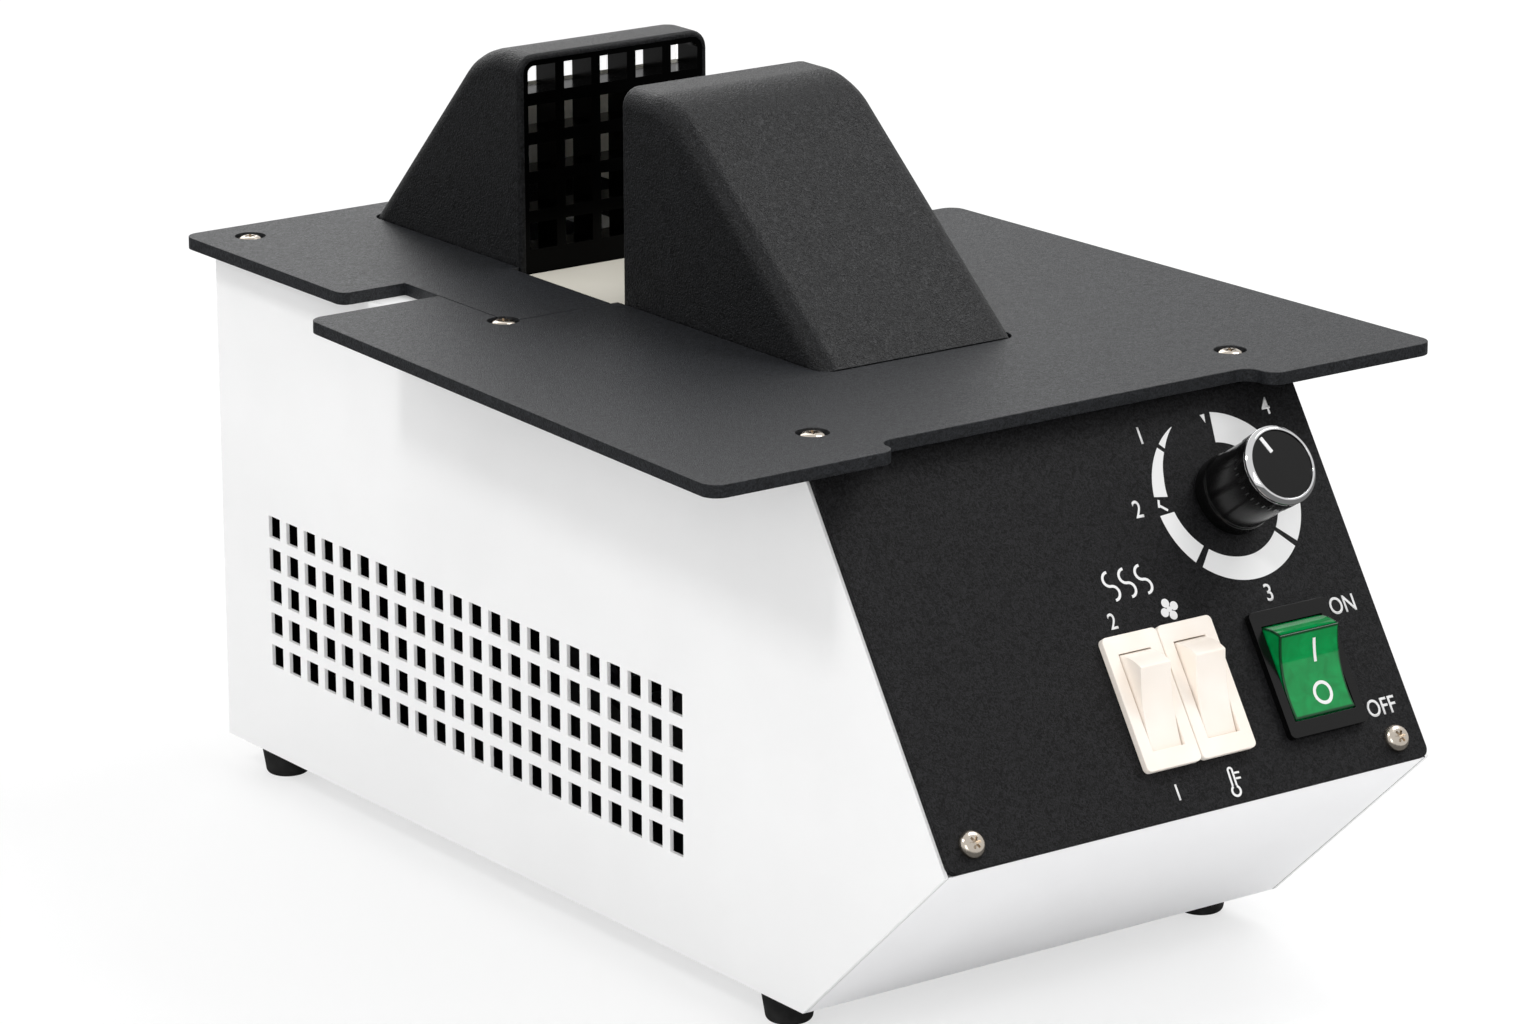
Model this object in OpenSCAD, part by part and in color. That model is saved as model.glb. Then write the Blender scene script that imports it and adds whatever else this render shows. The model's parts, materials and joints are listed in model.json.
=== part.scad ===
// Eyeglass frame warmer: a bench box that blows warm air across the gap between two hoods.
// Millimetres. X runs to the right seen from the front, Y to the back, Z up.
// The origin is the middle of the bounding box, on the surface that the feet stand on.

/* [Case] */
// Outside width across the two side panels
case_w = 150; // [130:1:175]
// Depth from the lowest edge of the control panel to the back panel
case_d = 323; // [300:1:350]
// Height from the floor sheet to the underside of the top plates
deck_h = 138.4; // [130:0.2:150]
// Height of the front edge where the control panel meets the undercut
nose_h = 50.6; // [45:0.2:56]
// How far the undercut front runs back below that edge
undercut = 55.7; // [45:0.1:65]
// Lean of the control panel from upright, in degrees
panel_lean = 33; // [30:0.5:36]
// Thickness of the folded case sheet
sheet_t = 1.2; // [0.8:0.1:1.6]
// Width of the flanges folded inward
flange_w = 14; // [12:0.5:16]
// Gap left in the joints between sheets
seam = 0.15; // [0.1:0.05:0.3]

/* [Side vents] */
// Slots in one row of the side grille
vent_cols = 22; // [10:1:23]
// Rows of the side grille
vent_rows = 5; // [2:1:6]
// Length of one slot along the case
vent_w = 5.7; // [4:0.1:6.5]
// Height of one slot
vent_h = 6; // [4:0.1:7]
// Spacing of the slots along the case
vent_pitch = 8.95; // [8.5:0.05:9.5]
// Spacing of the rows
vent_rise = 9.1; // [8.5:0.05:10]
// Distance from the back panel to the first slot
vent_back = 24; // [18:0.5:30]
// Height of the lowest row above the floor
vent_low = 25.7; // [20:0.1:32]

/* [Top plates] */
// Thickness of both top plates
plate_t = 3.3; // [3:0.1:4.5]
// Width of the front plate along its front edge
front_plate_w = 222.6; // [210:0.2:236]
// Width of the front plate at its back corners
front_plate_back_w = 208; // [192:0.5:216]
// How far the front plate stands out over the top of the control panel
front_over = 15.7; // [10:0.1:17]
// How far the arms of the front plate reach back beside the gap
arm_reach = 33; // [26:0.5:40]
// Width of the tongue of the rear plate that lies between those arms
tongue_w = 128; // [120:1:131]
// Gap along the seam between the two plates
plate_seam = 0.3; // [0.2:0.05:0.6]
// Width of the rear plate
rear_plate_w = 166.4; // [155:0.2:180]
// Notch at the sides between the arms of the front plate and the wide part of the rear plate
side_notch = 16.6; // [10:0.2:24]
// How far the rear plate stands out over the back panel
back_over = 3.2; // [3:0.1:6]
// Radius of the plate corners
plate_r = 4.5; // [2:0.5:8]
// Width of the recess in the front edge
recess_w = 115; // [100:1:125]
// Depth of that recess
recess_d = 8.5; // [7:0.1:9.5]
// Distance of the front screws behind the front edge
screw_front = 24.3; // [18:0.1:28]
// Distance of the front and middle screws from the middle of the case
screw_x = 64.6; // [64:0.1:68]
// Distance of the rear screws from the middle of the case
rear_screw_x = 69; // [66:0.1:69.5]
// Distance of the rear screws from the back panel
rear_screw_in = 8.5; // [8:0.1:14]

/* [Hoods] */
// Width of the gap between the two hoods
gap_w = 47; // [40:0.5:55]
// Distance of the middle of the gap from the back panel
gap_back = 105; // [102:0.5:109]
// Outside width of both hoods
hood_w = 60.4; // [58:0.2:63]
// Height of both hoods above the plates
hood_h = 56.5; // [50:0.5:66]
// Depth of the front hood from its grille to its foot
front_hood_d = 87; // [78:0.5:92]
// Depth of the rear hood from its grille to its foot
rear_hood_d = 73.5; // [66:0.1:76]
// Depth of the level top of a hood before its slope starts
crest_d = 20; // [15:0.5:24]
// Radius between that top and the slope
crest_r = 25; // [16:0.5:28]
// Radius along the outer edges of a hood
hood_r = 5; // [4:0.5:8]
// Wall thickness of a hood
hood_wall = 1.6; // [1.4:0.1:2.2]
// Gap round a hood where it comes through the plates
hood_gap = 0.4; // [0.3:0.05:0.8]
// Width of the well in the rear plate between the hoods
well_w = 65.6; // [64.6:0.2:68]
// Thickness of the pale tray in the well
tray_t = 1.2; // [0.8:0.1:1.6]
// Thickness of the sheet liner in each hood
liner_t = 0.8; // [0.6:0.1:1.2]

/* [Grilles] */
// Cells across a hood grille
grille_cols = 5; // [3:1:6]
// Rows of cells in a hood grille
grille_rows = 5; // [3:1:6]
// Bar between two cells of a row
bar_x = 2.8; // [2:0.1:3.5]
// Bar between two rows
bar_z = 3.3; // [2:0.1:4]
// Outer rim of a grille
grille_rim = 1.3; // [1:0.1:2]
// Blank strip at the foot of a grille
grille_foot = 7.5; // [4:0.5:10]
// Depth of the cells
grille_d = 9; // [6:0.5:11]
// Clearance of a grille in its hood
grille_fit = 0.2; // [0.15:0.05:0.35]

/* [Control panel] */
// Thickness of the panel
panel_t = 1.6; // [1.2:0.1:2.5]
// Width of the panel
panel_w = 148.4; // [147:0.1:149]
// Radius of its lower corners
panel_r = 2.5; // [1:0.5:5]
// Distance of its two screws from the middle
panel_screw_x = 65.8; // [64:0.1:67]
// Height of those screws along the panel
panel_screw_s = 6; // [5:0.1:8]

/* [Control knob] */
// Place of the knob to the right of the middle
knob_x = 42; // [36:0.5:46]
// Height of the knob along the panel
knob_s = 74; // [70:0.5:78]
// Diameter of the knob
knob_d = 20.4; // [18:0.2:23]
// How far the knob stands out from the panel
knob_h = 24; // [21:0.5:27]
// Gap between the knob and the panel
knob_clear = 0.8; // [0.5:0.1:1.5]
// Diameter of the control shaft
shaft_d = 6; // [5:0.1:6.5]
// Radial play of the shaft in its bushing
run_fit = 0.05; // [0.03:0.01:0.09]
// Diameter of the control housing behind the panel
pot_d = 24; // [20:0.5:28]

/* [Power switch] */
// Place of the switch to the right of the middle
power_x = 46; // [43:0.2:49]
// Height of its middle along the panel
power_s = 27.9; // [25:0.2:30]
// Width of its bezel
power_w = 24.5; // [22:0.1:26]
// Height of its bezel
power_l = 32.6; // [30:0.1:35]
// Width of its rocker
power_rocker_w = 18.8; // [16:0.1:19.5]
// Tilt of its rocker from level at each end of the throw, in degrees
power_tilt = 14; // [10:0.5:17]
// Hollow of its rocker face
power_hollow = 2.1; // [1:0.1:2.6]

/* [Heat and fan switches] */
// Place of the middle of the pair to the right of the middle
pair_x = 5.8; // [3:0.2:8]
// Height of the middle of the pair along the panel
pair_s = 29.2; // [27:0.2:31]
// Width of one bezel
pair_w = 16.8; // [15:0.1:17.5]
// Height of one bezel
pair_l = 34.2; // [32:0.1:36]
// Slit between the two bezels
pair_gap = 0.3; // [0.2:0.05:0.6]
// Width of one rocker
pair_rocker_w = 9.3; // [8:0.1:10]
// Tilt of a rocker from level at each end of the throw, in degrees
pair_tilt = 20; // [15:0.5:22]
// Hollow of a rocker face
pair_hollow = 1.2; // [0.6:0.1:2]

/* [Rockers] */
// Radius of the rocker ends about their pivot
rocker_r = 13; // [12.4:0.1:13.2]
// Distance of the rocker face from its pivot
rocker_face = 8; // [7.4:0.1:8.6]
// Depth of the pivot below the panel
pivot_in = 3; // [2.5:0.1:4]
// Clearance round a rocker in its switch
rocker_fit = 0.3; // [0.25:0.05:0.5]
// Height of the bezels on the panel
bezel_h = 2; // [1.6:0.1:2.6]
// Length of the switch housings behind the panel
switch_depth = 20; // [18:0.5:26]
// Clearance of the housings in the panel cut-outs
cut_fit = 0.2; // [0.15:0.05:0.4]

/* [Feet] */
// Height of the rubber feet
foot_h = 9; // [7:0.5:14]
// Diameter of a foot at the case
foot_d = 14.5; // [12:0.5:17]
// Diameter of a foot at the floor
foot_low_d = 11.5; // [9.5:0.5:12]
// Distance of the feet from the middle
foot_x = 65.5; // [58:0.5:66]
// Distance of the front feet behind the front edge of the floor sheet
foot_front = 18.5; // [14:0.5:30]
// Distance of the rear feet from the back panel
foot_back = 15; // [12:0.5:25]

/* [Air system] */
// Width of the air duct
duct_w = 68; // [60:1:72]
// Height of the duct under the deck
duct_h = 38; // [34:1:42]
// Sheet of the duct
duct_t = 1; // [0.8:0.1:1.5]
// Width of the blower housing
blower_w = 44; // [38:1:48]
// Radius of the scroll where it starts
scroll_r = 33; // [31:0.5:35]
// Growth of the scroll radius over one turn
scroll_grow = 8; // [5:0.5:9]
// Wall of the blower housing
blower_wall = 1.8; // [1.4:0.1:2.5]
// Radius of the blower wheel
wheel_r = 29; // [25:0.5:30]
// Blades of the blower wheel
blades = 20; // [12:1:28]
// Height of the heater between blower and duct
heater_h = 14; // [12:0.5:18]
// Fins of the heater
fins = 13; // [7:1:15]
// Diameter of the motor
motor_d = 42; // [40:1:46]
// Length of the motor
motor_l = 26; // [22:1:32]

/* [Mains inlet] */
// Place of the inlet to the right of the middle
inlet_x = -42; // [-46:1:-38]
// Height of the inlet above the floor
inlet_z = 30; // [26:1:40]

/* [Hidden] */
$fn = 48;
slope_top = (deck_h - nose_h) * tan(panel_lean);
slope_len = (deck_h - nose_h) / cos(panel_lean);
front_y = -panel_t * cos(panel_lean);
back_y = case_d + back_over;
mid_y = (front_y + back_y) / 2;
in_w = case_w / 2 - sheet_t;
plate_front = slope_top - front_over;
gap_y = case_d - gap_back;
face_f = gap_y - gap_w / 2;
face_r = gap_y + gap_w / 2;
seam_y = face_f + 1.6;
arm_end = seam_y + arm_reach;
rear_wide_y = arm_end + side_notch;
hood_top = plate_t + hood_h;
skirt_h = plate_t + 0.2;
deck_low = deck_h - sheet_t;
screw_mid = seam_y + 1.9;
screw_spots = [for (s = [-1, 1]) each [[s * screw_x, plate_front + screw_front],
    [s * screw_x, screw_mid], [s * rear_screw_x, case_d - rear_screw_in]]];
foot_spots = [for (s = [-1, 1]) each [[s * foot_x, undercut + foot_front],
    [s * foot_x, case_d - foot_back]]];
shank = 3;
shank_hole = 3.4;
sink = 2.2;
back_screw_x = 55;
inlet_screw_x = 20;
inlet_body_w = 27;
inlet_body_h = 19.6;
inlet_flange_w = 50;
inlet_flange_h = 22.8;
inlet_flange_flat = 28;
duct_low = deck_low - duct_h;
heater_low = duct_low - heater_h;
blower_y = gap_y - 14;
blower_z = heater_low - 36;
out_y0 = blower_y + 1;
out_y1 = blower_y + scroll_r + scroll_grow;
out_mid = (out_y0 + out_y1) / 2;
out_l = out_y1 - out_y0;
duct_y0 = face_f - front_hood_d + 4;
duct_y1 = face_r + rear_hood_d - 4;
tube_d = 6;
tube_ys = [-out_l / 4, 0, out_l / 4];
blower_feet = [-21, 21];
foot_bolt_x = 12;
cover_t = 2;
motor_bolt_r = 17;
motor_shaft_d = 5;
wheel_gap = 5;
wheel_back = 9;
wheel_l = blower_w - wheel_gap - wheel_back;
hub_l = 12;
shaft_nose = 1;
shaft_l = shaft_nose + hub_l + wheel_back + motor_l + 1;
heat_x = pair_x - (pair_w + pair_gap) / 2;
fan_x = pair_x + (pair_w + pair_gap) / 2;
bush_d = 7.4;
ring_h = 1.8;
cap_r = knob_d / 2 - 1.4;
pointer_w = 1.1;
// The pointer starts at the thin end of the dial, to the left of the top.
pointer_turn = 25;
board_w = 78;
board_l = 50;
board_t = 1.6;
board_y = undercut + 52;
board_z = sheet_t + 7;
board_spots = [for (x = [-1, 1], y = [-1, 1]) [x * (board_w / 2 - 5), y * (board_l / 2 - 5)]];
sink_h = 22;
relay_w = 15;
relay_l = 19;
relay_h = 15;
relay_pitch = 20;
pin_spots = [[-7, 1.5], [7, 1.5], [0, -3.5]];
pot_in = 10;
boss_r = 3.2;
pin_d = 3;
liner_gap = 0.5;

// Case frame: origin on the floor sheet under the front edge, Y to the back.
module place() translate([0, -mid_y, foot_h]) children();
// Panel frame: X to the right, Y up along the panel, Z out of its face, on the flange plane.
module on_slope() place() translate([0, 0, nose_h]) rotate([90 - panel_lean, 0, 0]) children();
// Stands a drawing in Y and Z up and gives it a width along X.
module across(w) translate([-w / 2, 0, 0]) rotate([90, 0, 90]) linear_extrude(w) children();

function unit(v) = v / norm(v);
function turn(u, v) = u[0] * v[1] - u[1] * v[0];
function into(p) = let (n = len(p)) [for (i = [0:n - 1]) unit(p[i] - p[(i + n - 1) % n])];
// Corner i of an outline that runs anticlockwise, moved in by t on both of its edges.
function inset(p, t) = let (n = len(p), u = into(p))
    [for (i = [0:n - 1]) let (v = u[(i + 1) % n]) p[i] + t * (v - u[i]) / turn(u[i], v)];
// Tangent points of an arc of radius r[i] at each corner.
function tangents(p, r) = let (n = len(p), u = into(p)) [for (i = [0:n - 1])
    let (v = u[(i + 1) % n], t = r[i] * tan(acos(u[i] * v) / 2)) each [p[i] - t * u[i], p[i] + t * v]];
function centres(p, r) = let (n = len(p), u = into(p))
    [for (i = [0:n - 1]) let (v = u[(i + 1) % n]) p[i] + r[i] * (v - u[i]) / turn(u[i], v)];

// A convex outline whose corners are rounded by true arcs.
module rounded(p, r) {
    t = tangents(p, r);
    c = centres(p, r);
    polygon(t);
    for (i = [0:len(p) - 1]) if (r[i] > 0)
        intersection() {
            translate(c[i]) circle(r[i]);
            polygon([c[i], t[2 * i], p[i], t[2 * i + 1]]);
        }
}
module rounded_box(w, l, r) rounded([[-w / 2, -l / 2], [w / 2, -l / 2], [w / 2, l / 2], [-w / 2, l / 2]],
    [r, r, r, r]);

// ---- Case ----
side_outline = [[undercut, 0], [case_d, 0], [case_d, deck_h], [slope_top, deck_h], [0, nose_h]];

module vents() for (i = [0:vent_cols - 1], j = [0:vent_rows - 1])
    translate([case_d - vent_back - vent_w - i * vent_pitch, vent_low + j * vent_rise])
        square([vent_w, vent_h]);

module side_panel() {
    translate([in_w, 0, 0]) rotate([90, 0, 90]) linear_extrude(sheet_t) difference() {
        polygon(side_outline);
        vents();
    }
    // Top flange under the deck.
    difference() {
        translate([case_w / 2 - flange_w, slope_top + 6, deck_low - sheet_t])
            cube([flange_w - sheet_t, case_d - slope_top - 9, sheet_t]);
        for (p = screw_spots) if (p[0] > 0)
            translate([p[0], p[1], 0]) cylinder(d = shank_hole, h = deck_h);
    }
    // Flange behind the control panel.
    translate([0, 0, nose_h]) rotate([90 - panel_lean, 0, 0]) difference() {
        translate([case_w / 2 - flange_w, 2.5, -sheet_t])
            cube([flange_w - sheet_t, slope_len - 8, sheet_t]);
        translate([panel_screw_x, panel_screw_s, -5]) cylinder(d = shank_hole, h = 10);
    }
}
module right_side_panel() color("white") place() side_panel();
module left_side_panel() color("white") place() mirror([1, 0, 0]) side_panel();

// Side view of the sheets between the side panels.
module folds() {
    p = [[undercut, 0], [case_d - sheet_t - seam, 0], [case_d - sheet_t - seam, deck_h],
        [slope_top, deck_h], [0, nose_h]];
    difference() {
        polygon(p);
        polygon(inset(p, sheet_t));
    }
}

module base_pan() color("gainsboro") place() {
    difference() {
        across(2 * (in_w - seam)) intersection() {
            folds();
            union() {
                square([undercut + 1, nose_h]);
                square([case_d, flange_w]);
            }
        }
        for (y = blower_feet, x = foot_bolt_x * [-1, 1]) translate([x, blower_y + y, -1])
            cylinder(d = shank_hole, h = 5);
        for (f = foot_spots) translate([f[0], f[1], -1]) cylinder(d = shank_hole, h = 5);
        for (s = [-1, 1]) translate([s * back_screw_x, case_d - 5, flange_w / 2])
            rotate([-90, 0, 0]) cylinder(d = shank_hole, h = 10);
    }
    // Return flange behind the lower edge of the control panel.
    w = case_w - 2 * flange_w - 1;
    across(w) intersection() {
        folds();
        translate([0, nose_h]) rotate(90 - panel_lean) translate([-2, -4]) square([flange_w, 8]);
    }
    // Flanges along the side panels.
    for (s = [-1, 1]) translate([s * (in_w - seam - sheet_t / 2), (undercut + case_d) / 2, flange_w / 2])
        cube([sheet_t, case_d - undercut - 16, flange_w], center = true);
}

module back_panel() color("white") place() difference() {
    translate([-in_w + seam, case_d - sheet_t, 0]) cube([2 * (in_w - seam), sheet_t, deck_h]);
    translate([inlet_x, case_d, inlet_z])
        cube([inlet_body_w + 0.6, 10, inlet_body_h + 0.6], center = true);
    for (s = [-1, 1]) {
        translate([inlet_x + s * inlet_screw_x, case_d - 5, inlet_z]) rotate([-90, 0, 0])
            cylinder(d = shank_hole, h = 10);
        for (z = [flange_w / 2, deck_low - flange_w / 2]) translate([s * back_screw_x, case_d - 5, z])
            rotate([-90, 0, 0]) cylinder(d = shank_hole, h = 10);
    }
}

module hood_passage(d) translate([-20, 9]) square([40, d - 24]);
// Screw places of a hood, from its face towards its foot.
function boss_spots(d) = [for (s = [-1, 1], y = [16, d - 26])
    [s * (hood_w / 2 - hood_wall - boss_r), y]];
// Puts a hood drawn from its face at Y 0 with its foot at +Y on the deck, facing the gap.
module at_front() translate([0, face_f, deck_h]) mirror([0, 1, 0]) children();
module at_rear() translate([0, face_r, deck_h]) children();

module deck_sheet() color("whitesmoke") place() {
    y0 = slope_top + 3;
    y1 = case_d - sheet_t - seam;
    difference() {
        translate([-in_w + seam, y0, deck_low]) cube([2 * (in_w - seam), y1 - y0, sheet_t]);
        at_front() translate([0, 0, -5]) linear_extrude(10) hood_passage(front_hood_d);
        at_rear() translate([0, 0, -5]) linear_extrude(10) hood_passage(rear_hood_d);
        for (p = screw_spots) translate([p[0], p[1], deck_low - 5]) cylinder(d = shank_hole, h = 10);
        at_front() for (p = boss_spots(front_hood_d)) translate([p[0], p[1], -5])
            cylinder(d = shank_hole, h = 10);
        at_rear() for (p = boss_spots(rear_hood_d)) translate([p[0], p[1], -5])
            cylinder(d = shank_hole, h = 10);
    }
    // Front flange behind the control panel.
    across(case_w - 2 * flange_w - 1) intersection() {
        folds();
        translate([slope_top - 12, deck_h - 10]) square([18, 10]);
    }
    // Rear flange against the back panel.
    difference() {
        translate([-in_w + flange_w, y1 - sheet_t, deck_low - flange_w])
            cube([2 * (in_w - flange_w), sheet_t, flange_w]);
        for (s = [-1, 1]) translate([s * back_screw_x, case_d - 8, deck_low - flange_w / 2])
            rotate([-90, 0, 0]) cylinder(d = shank_hole, h = 10);
    }
}

// ---- Top plates ----
module plate_holes() for (p = screw_spots) translate([p[0], p[1], deck_h]) {
    translate([0, 0, -1]) cylinder(d = 4, h = plate_t + 2);
    translate([0, 0, plate_t - sink]) cylinder(d = 8.3, h = 3);
}
module hood_slot(d) {
    w = hood_w / 2 + hood_gap;
    rounded([[-w, -10], [w, -10], [w, d + hood_gap], [-w, d + hood_gap]], [0, 0, hood_r, hood_r]);
}

module front_top_plate() color("#3a3b3f") place() difference() {
    translate([0, 0, deck_h]) linear_extrude(plate_t) difference() {
        w = front_plate_w / 2;
        b = front_plate_back_w / 2;
        rounded([[-w, plate_front], [w, plate_front], [b, arm_end], [-b, arm_end]],
            [plate_r, plate_r, plate_r, plate_r]);
        translate([-tongue_w / 2, seam_y]) square([tongue_w, arm_reach + 1]);
        translate([0, face_f]) mirror([0, 1]) hood_slot(front_hood_d);
        // Recess over the controls, its ends drawn as an S of two arcs.
        r = recess_d / 2;
        h = recess_w / 2;
        rounded([[-h, plate_front - 10], [h, plate_front - 10], [h, plate_front + recess_d],
            [-h, plate_front + recess_d]], [0, 0, r, r]);
        for (s = [-1, 1]) difference() {
            translate([s * (h + r / 2 - 0.5), plate_front + r / 2 - 1])
                square([r + 1, r + 2], center = true);
            translate([s * (h + r), plate_front + r]) circle(r);
            translate([s * (h + r) - 2 * r, plate_front + r]) square([4 * r, 2 * r]);
        }
    }
    plate_holes();
}

module rear_top_plate() color("#35363a") place() difference() {
    translate([0, 0, deck_h]) linear_extrude(plate_t) difference() {
        union() {
            w = rear_plate_w / 2;
            rounded([[-w, rear_wide_y], [w, rear_wide_y], [w, back_y], [-w, back_y]],
                [3, 3, plate_r, plate_r]);
            translate([-tongue_w / 2 + plate_seam, seam_y + plate_seam])
                square([tongue_w - 2 * plate_seam, arm_reach + side_notch + 5]);
        }
        translate([-well_w / 2, seam_y - 1]) square([well_w, face_r - seam_y + 1.5]);
        translate([0, face_r]) hood_slot(rear_hood_d);
    }
    plate_holes();
}

module well_tray() color("#f1ece0") place() translate([0, (seam_y + face_r) / 2, deck_h])
    linear_extrude(tray_t) rounded_box(well_w - 0.8, face_r - seam_y - 0.8, 2);

// ---- Hoods ----
function hood_outline(d) = [[0, 0], [d, 0], [d, skirt_h], [crest_d, hood_top], [0, hood_top]];

// Side view of a hood, drawn in by t, open at its face and foot where t is above zero.
module hood_side(d, t) {
    p = inset(hood_outline(d), t);
    past = t > 0 ? 3 : 0;
    rounded([[-past, -past], [p[1][0], -past], p[2], p[3], [-past, p[4][1]]],
        [0, 0, 0, crest_r - t, 0]);
}
// Bar with two rounded long edges, its top plane through the origin and tipped by a degrees.
module hood_bar(a, t, l) {
    w = hood_w / 2 - t;
    rotate([90 - a, 0, 0]) linear_extrude(2 * l, center = true)
        rounded([[-w, -l], [w, -l], [w, -t], [-w, -t]], [0, 0, hood_r - t, hood_r - t]);
}
module hood_form(d, t) intersection() {
    w = hood_w / 2 - t;
    across(hood_w + 2) hood_side(d, t);
    translate([0, 0, hood_top]) hood_bar(0, t, 2 * d);
    translate([0, crest_d, hood_top]) hood_bar(atan((hood_top - skirt_h) / (d - crest_d)), t, 2 * d);
    translate([0, 0, -10]) linear_extrude(hood_top + 20) rounded([[-w, -20], [w, -20], [w, d - t],
        [-w, d - t]], [0, 0, hood_r - t, hood_r - t]);
}
module hood(d) {
    difference() {
        hood_form(d, 0);
        hood_form(d, hood_wall);
    }
    // Screw bosses along the side walls.
    for (p = boss_spots(d)) translate([p[0], p[1], 0]) difference() {
        union() {
            cylinder(r = boss_r, h = 9);
            translate([sign(p[0]) * boss_r / 2, 0, 4.5]) cube([boss_r + 0.6, 2 * boss_r, 9], center = true);
        }
        translate([0, 0, -1]) cylinder(d = shank_hole, h = 9);
    }
}
module front_hood() color("#2f3033") place() at_front() hood(front_hood_d);
module rear_hood() color("#2f3033") place() at_rear() hood(rear_hood_d);

// Egg-crate grille that closes the face of a hood.
module grille() {
    w = hood_w / 2 - hood_wall - grille_fit;
    top = hood_top - hood_wall - grille_fit;
    r = hood_r - hood_wall - grille_fit;
    cell_w = (2 * w - 2 * grille_rim - (grille_cols - 1) * bar_x) / grille_cols;
    cell_h = (top - grille_foot - grille_rim - (grille_rows - 1) * bar_z) / grille_rows;
    translate([0, grille_d + 0.2, 0]) rotate([90, 0, 0]) linear_extrude(grille_d) difference() {
        rounded([[-w, 0], [w, 0], [w, top], [-w, top]], [0, 0, r, r]);
        intersection() {
            for (i = [0:grille_cols - 1], j = [0:grille_rows - 1])
                translate([-w + grille_rim + i * (cell_w + bar_x), grille_foot + j * (cell_h + bar_z)])
                    square([cell_w, cell_h]);
            rounded([[-w + grille_rim, 1], [w - grille_rim, 1], [w - grille_rim, top - grille_rim],
                [-w + grille_rim, top - grille_rim]], [0, 0, r - grille_rim, r - grille_rim]);
        }
    }
}
module front_grille() color("#151515") place() at_front() grille();
module rear_grille() color("#151515") place() at_rear() grille();

// Sheet that turns the air under the slope of a hood, standing on the deck.
module liner(d) {
    p = inset(hood_outline(d), hood_wall + liner_gap);
    q = inset(hood_outline(d), hood_wall + liner_gap + liner_t);
    start = crest_r / 2 * unit(p[2] - p[3]);
    across(hood_w - 2 * hood_wall - 2 * hood_r)
        polygon([p[3] + start, q[3] + start, q[2], [q[2][0], 0], [p[2][0], 0], p[2]]);
}
module front_liner() color("#e9e7e0") place() at_front() liner(front_hood_d);
module rear_liner() color("#e9e7e0") place() at_rear() liner(rear_hood_d);

// ---- Screws ----
// Pan head screw, head at the origin pointing up, shank down by l.
module pan_screw(l, head = 7, head_h = 2) {
    difference() {
        rotate_extrude() rounded([[0, 0], [head / 2, 0], [head / 2, head_h], [0, head_h]],
            [0, 0, head_h * 0.9, 0]);
        for (a = [0, 60, 120]) rotate(a) translate([-1.6, -0.35, head_h - 1.1]) cube([3.2, 0.7, 2]);
    }
    translate([0, 0, -l]) cylinder(d = shank, h = l + 0.01);
}
module plate_screws() color("#d8cfc6") place()
    for (p = screw_spots) translate([p[0], p[1], deck_h + plate_t - sink]) pan_screw(8, 7, sink);
module panel_screws() color("#d8cfc6") on_slope()
    for (s = [-1, 1]) translate([s * panel_screw_x, panel_screw_s, panel_t]) pan_screw(8);
module hood_screws() color("silver") place() {
    at_front() for (p = boss_spots(front_hood_d)) translate([p[0], p[1], -sheet_t])
        mirror([0, 0, 1]) pan_screw(7.6, 5.6, 1.8);
    at_rear() for (p = boss_spots(rear_hood_d)) translate([p[0], p[1], -sheet_t])
        mirror([0, 0, 1]) pan_screw(7.6, 5.6, 1.8);
}
module back_screws() color("#d8cfc6") place()
    for (s = [-1, 1], z = [flange_w / 2, deck_low - flange_w / 2])
        translate([s * back_screw_x, case_d, z]) rotate([-90, 0, 0]) pan_screw(6, 6, 2);

// ---- Feet ----
module feet() color("#141414") place() for (f = foot_spots) translate([f[0], f[1], 0]) difference() {
    rotate_extrude() rounded([[0, -foot_h], [foot_low_d / 2, -foot_h], [foot_d / 2, 0], [0, 0]],
        [0, 1.4, 0, 0]);
    translate([0, 0, -foot_h - 1]) cylinder(d = 6.2, h = 5);
    translate([0, 0, -foot_h - 1]) cylinder(d = shank_hole, h = foot_h + 2);
}
module foot_screws() color("silver") place() for (f = foot_spots)
    translate([f[0], f[1], -foot_h + 4]) mirror([0, 0, 1]) pan_screw(foot_h + 0.5, 5.6, 1.8);
module foot_nuts() color("silver") place() for (f = foot_spots) translate([f[0], f[1], sheet_t])
    difference() {
        cylinder(d = 6.3, h = 2.4, $fn = 6);
        translate([0, 0, -1]) cylinder(d = shank + 0.1, h = 5);
    }

// ---- Control panel ----
module control_panel() color("#232325") on_slope() difference() {
    linear_extrude(panel_t) difference() {
        w = panel_w / 2;
        top = slope_len - panel_t * tan(panel_lean) - 0.4;
        rounded([[-w, 0], [w, 0], [w, top], [-w, top]], [panel_r, panel_r, 0, 0]);
        for (s = [-1, 1]) translate([s * panel_screw_x, panel_screw_s]) circle(d = shank_hole);
        translate([knob_x, knob_s]) circle(d = bush_d + cut_fit);
        translate([power_x, power_s]) housing_2d(power_w, power_l, cut_fit);
        for (x = [heat_x, fan_x]) translate([x, pair_s]) housing_2d(pair_w, pair_l, cut_fit);
    }
}
// ---- Rocker switches ----
// Housing of a switch with a bezel of w by l, seen from the front and grown by g.
module housing_2d(w, l, g = 0) square([w - 2.2 + 2 * g, l - 2.4 + 2 * g], center = true);
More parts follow.
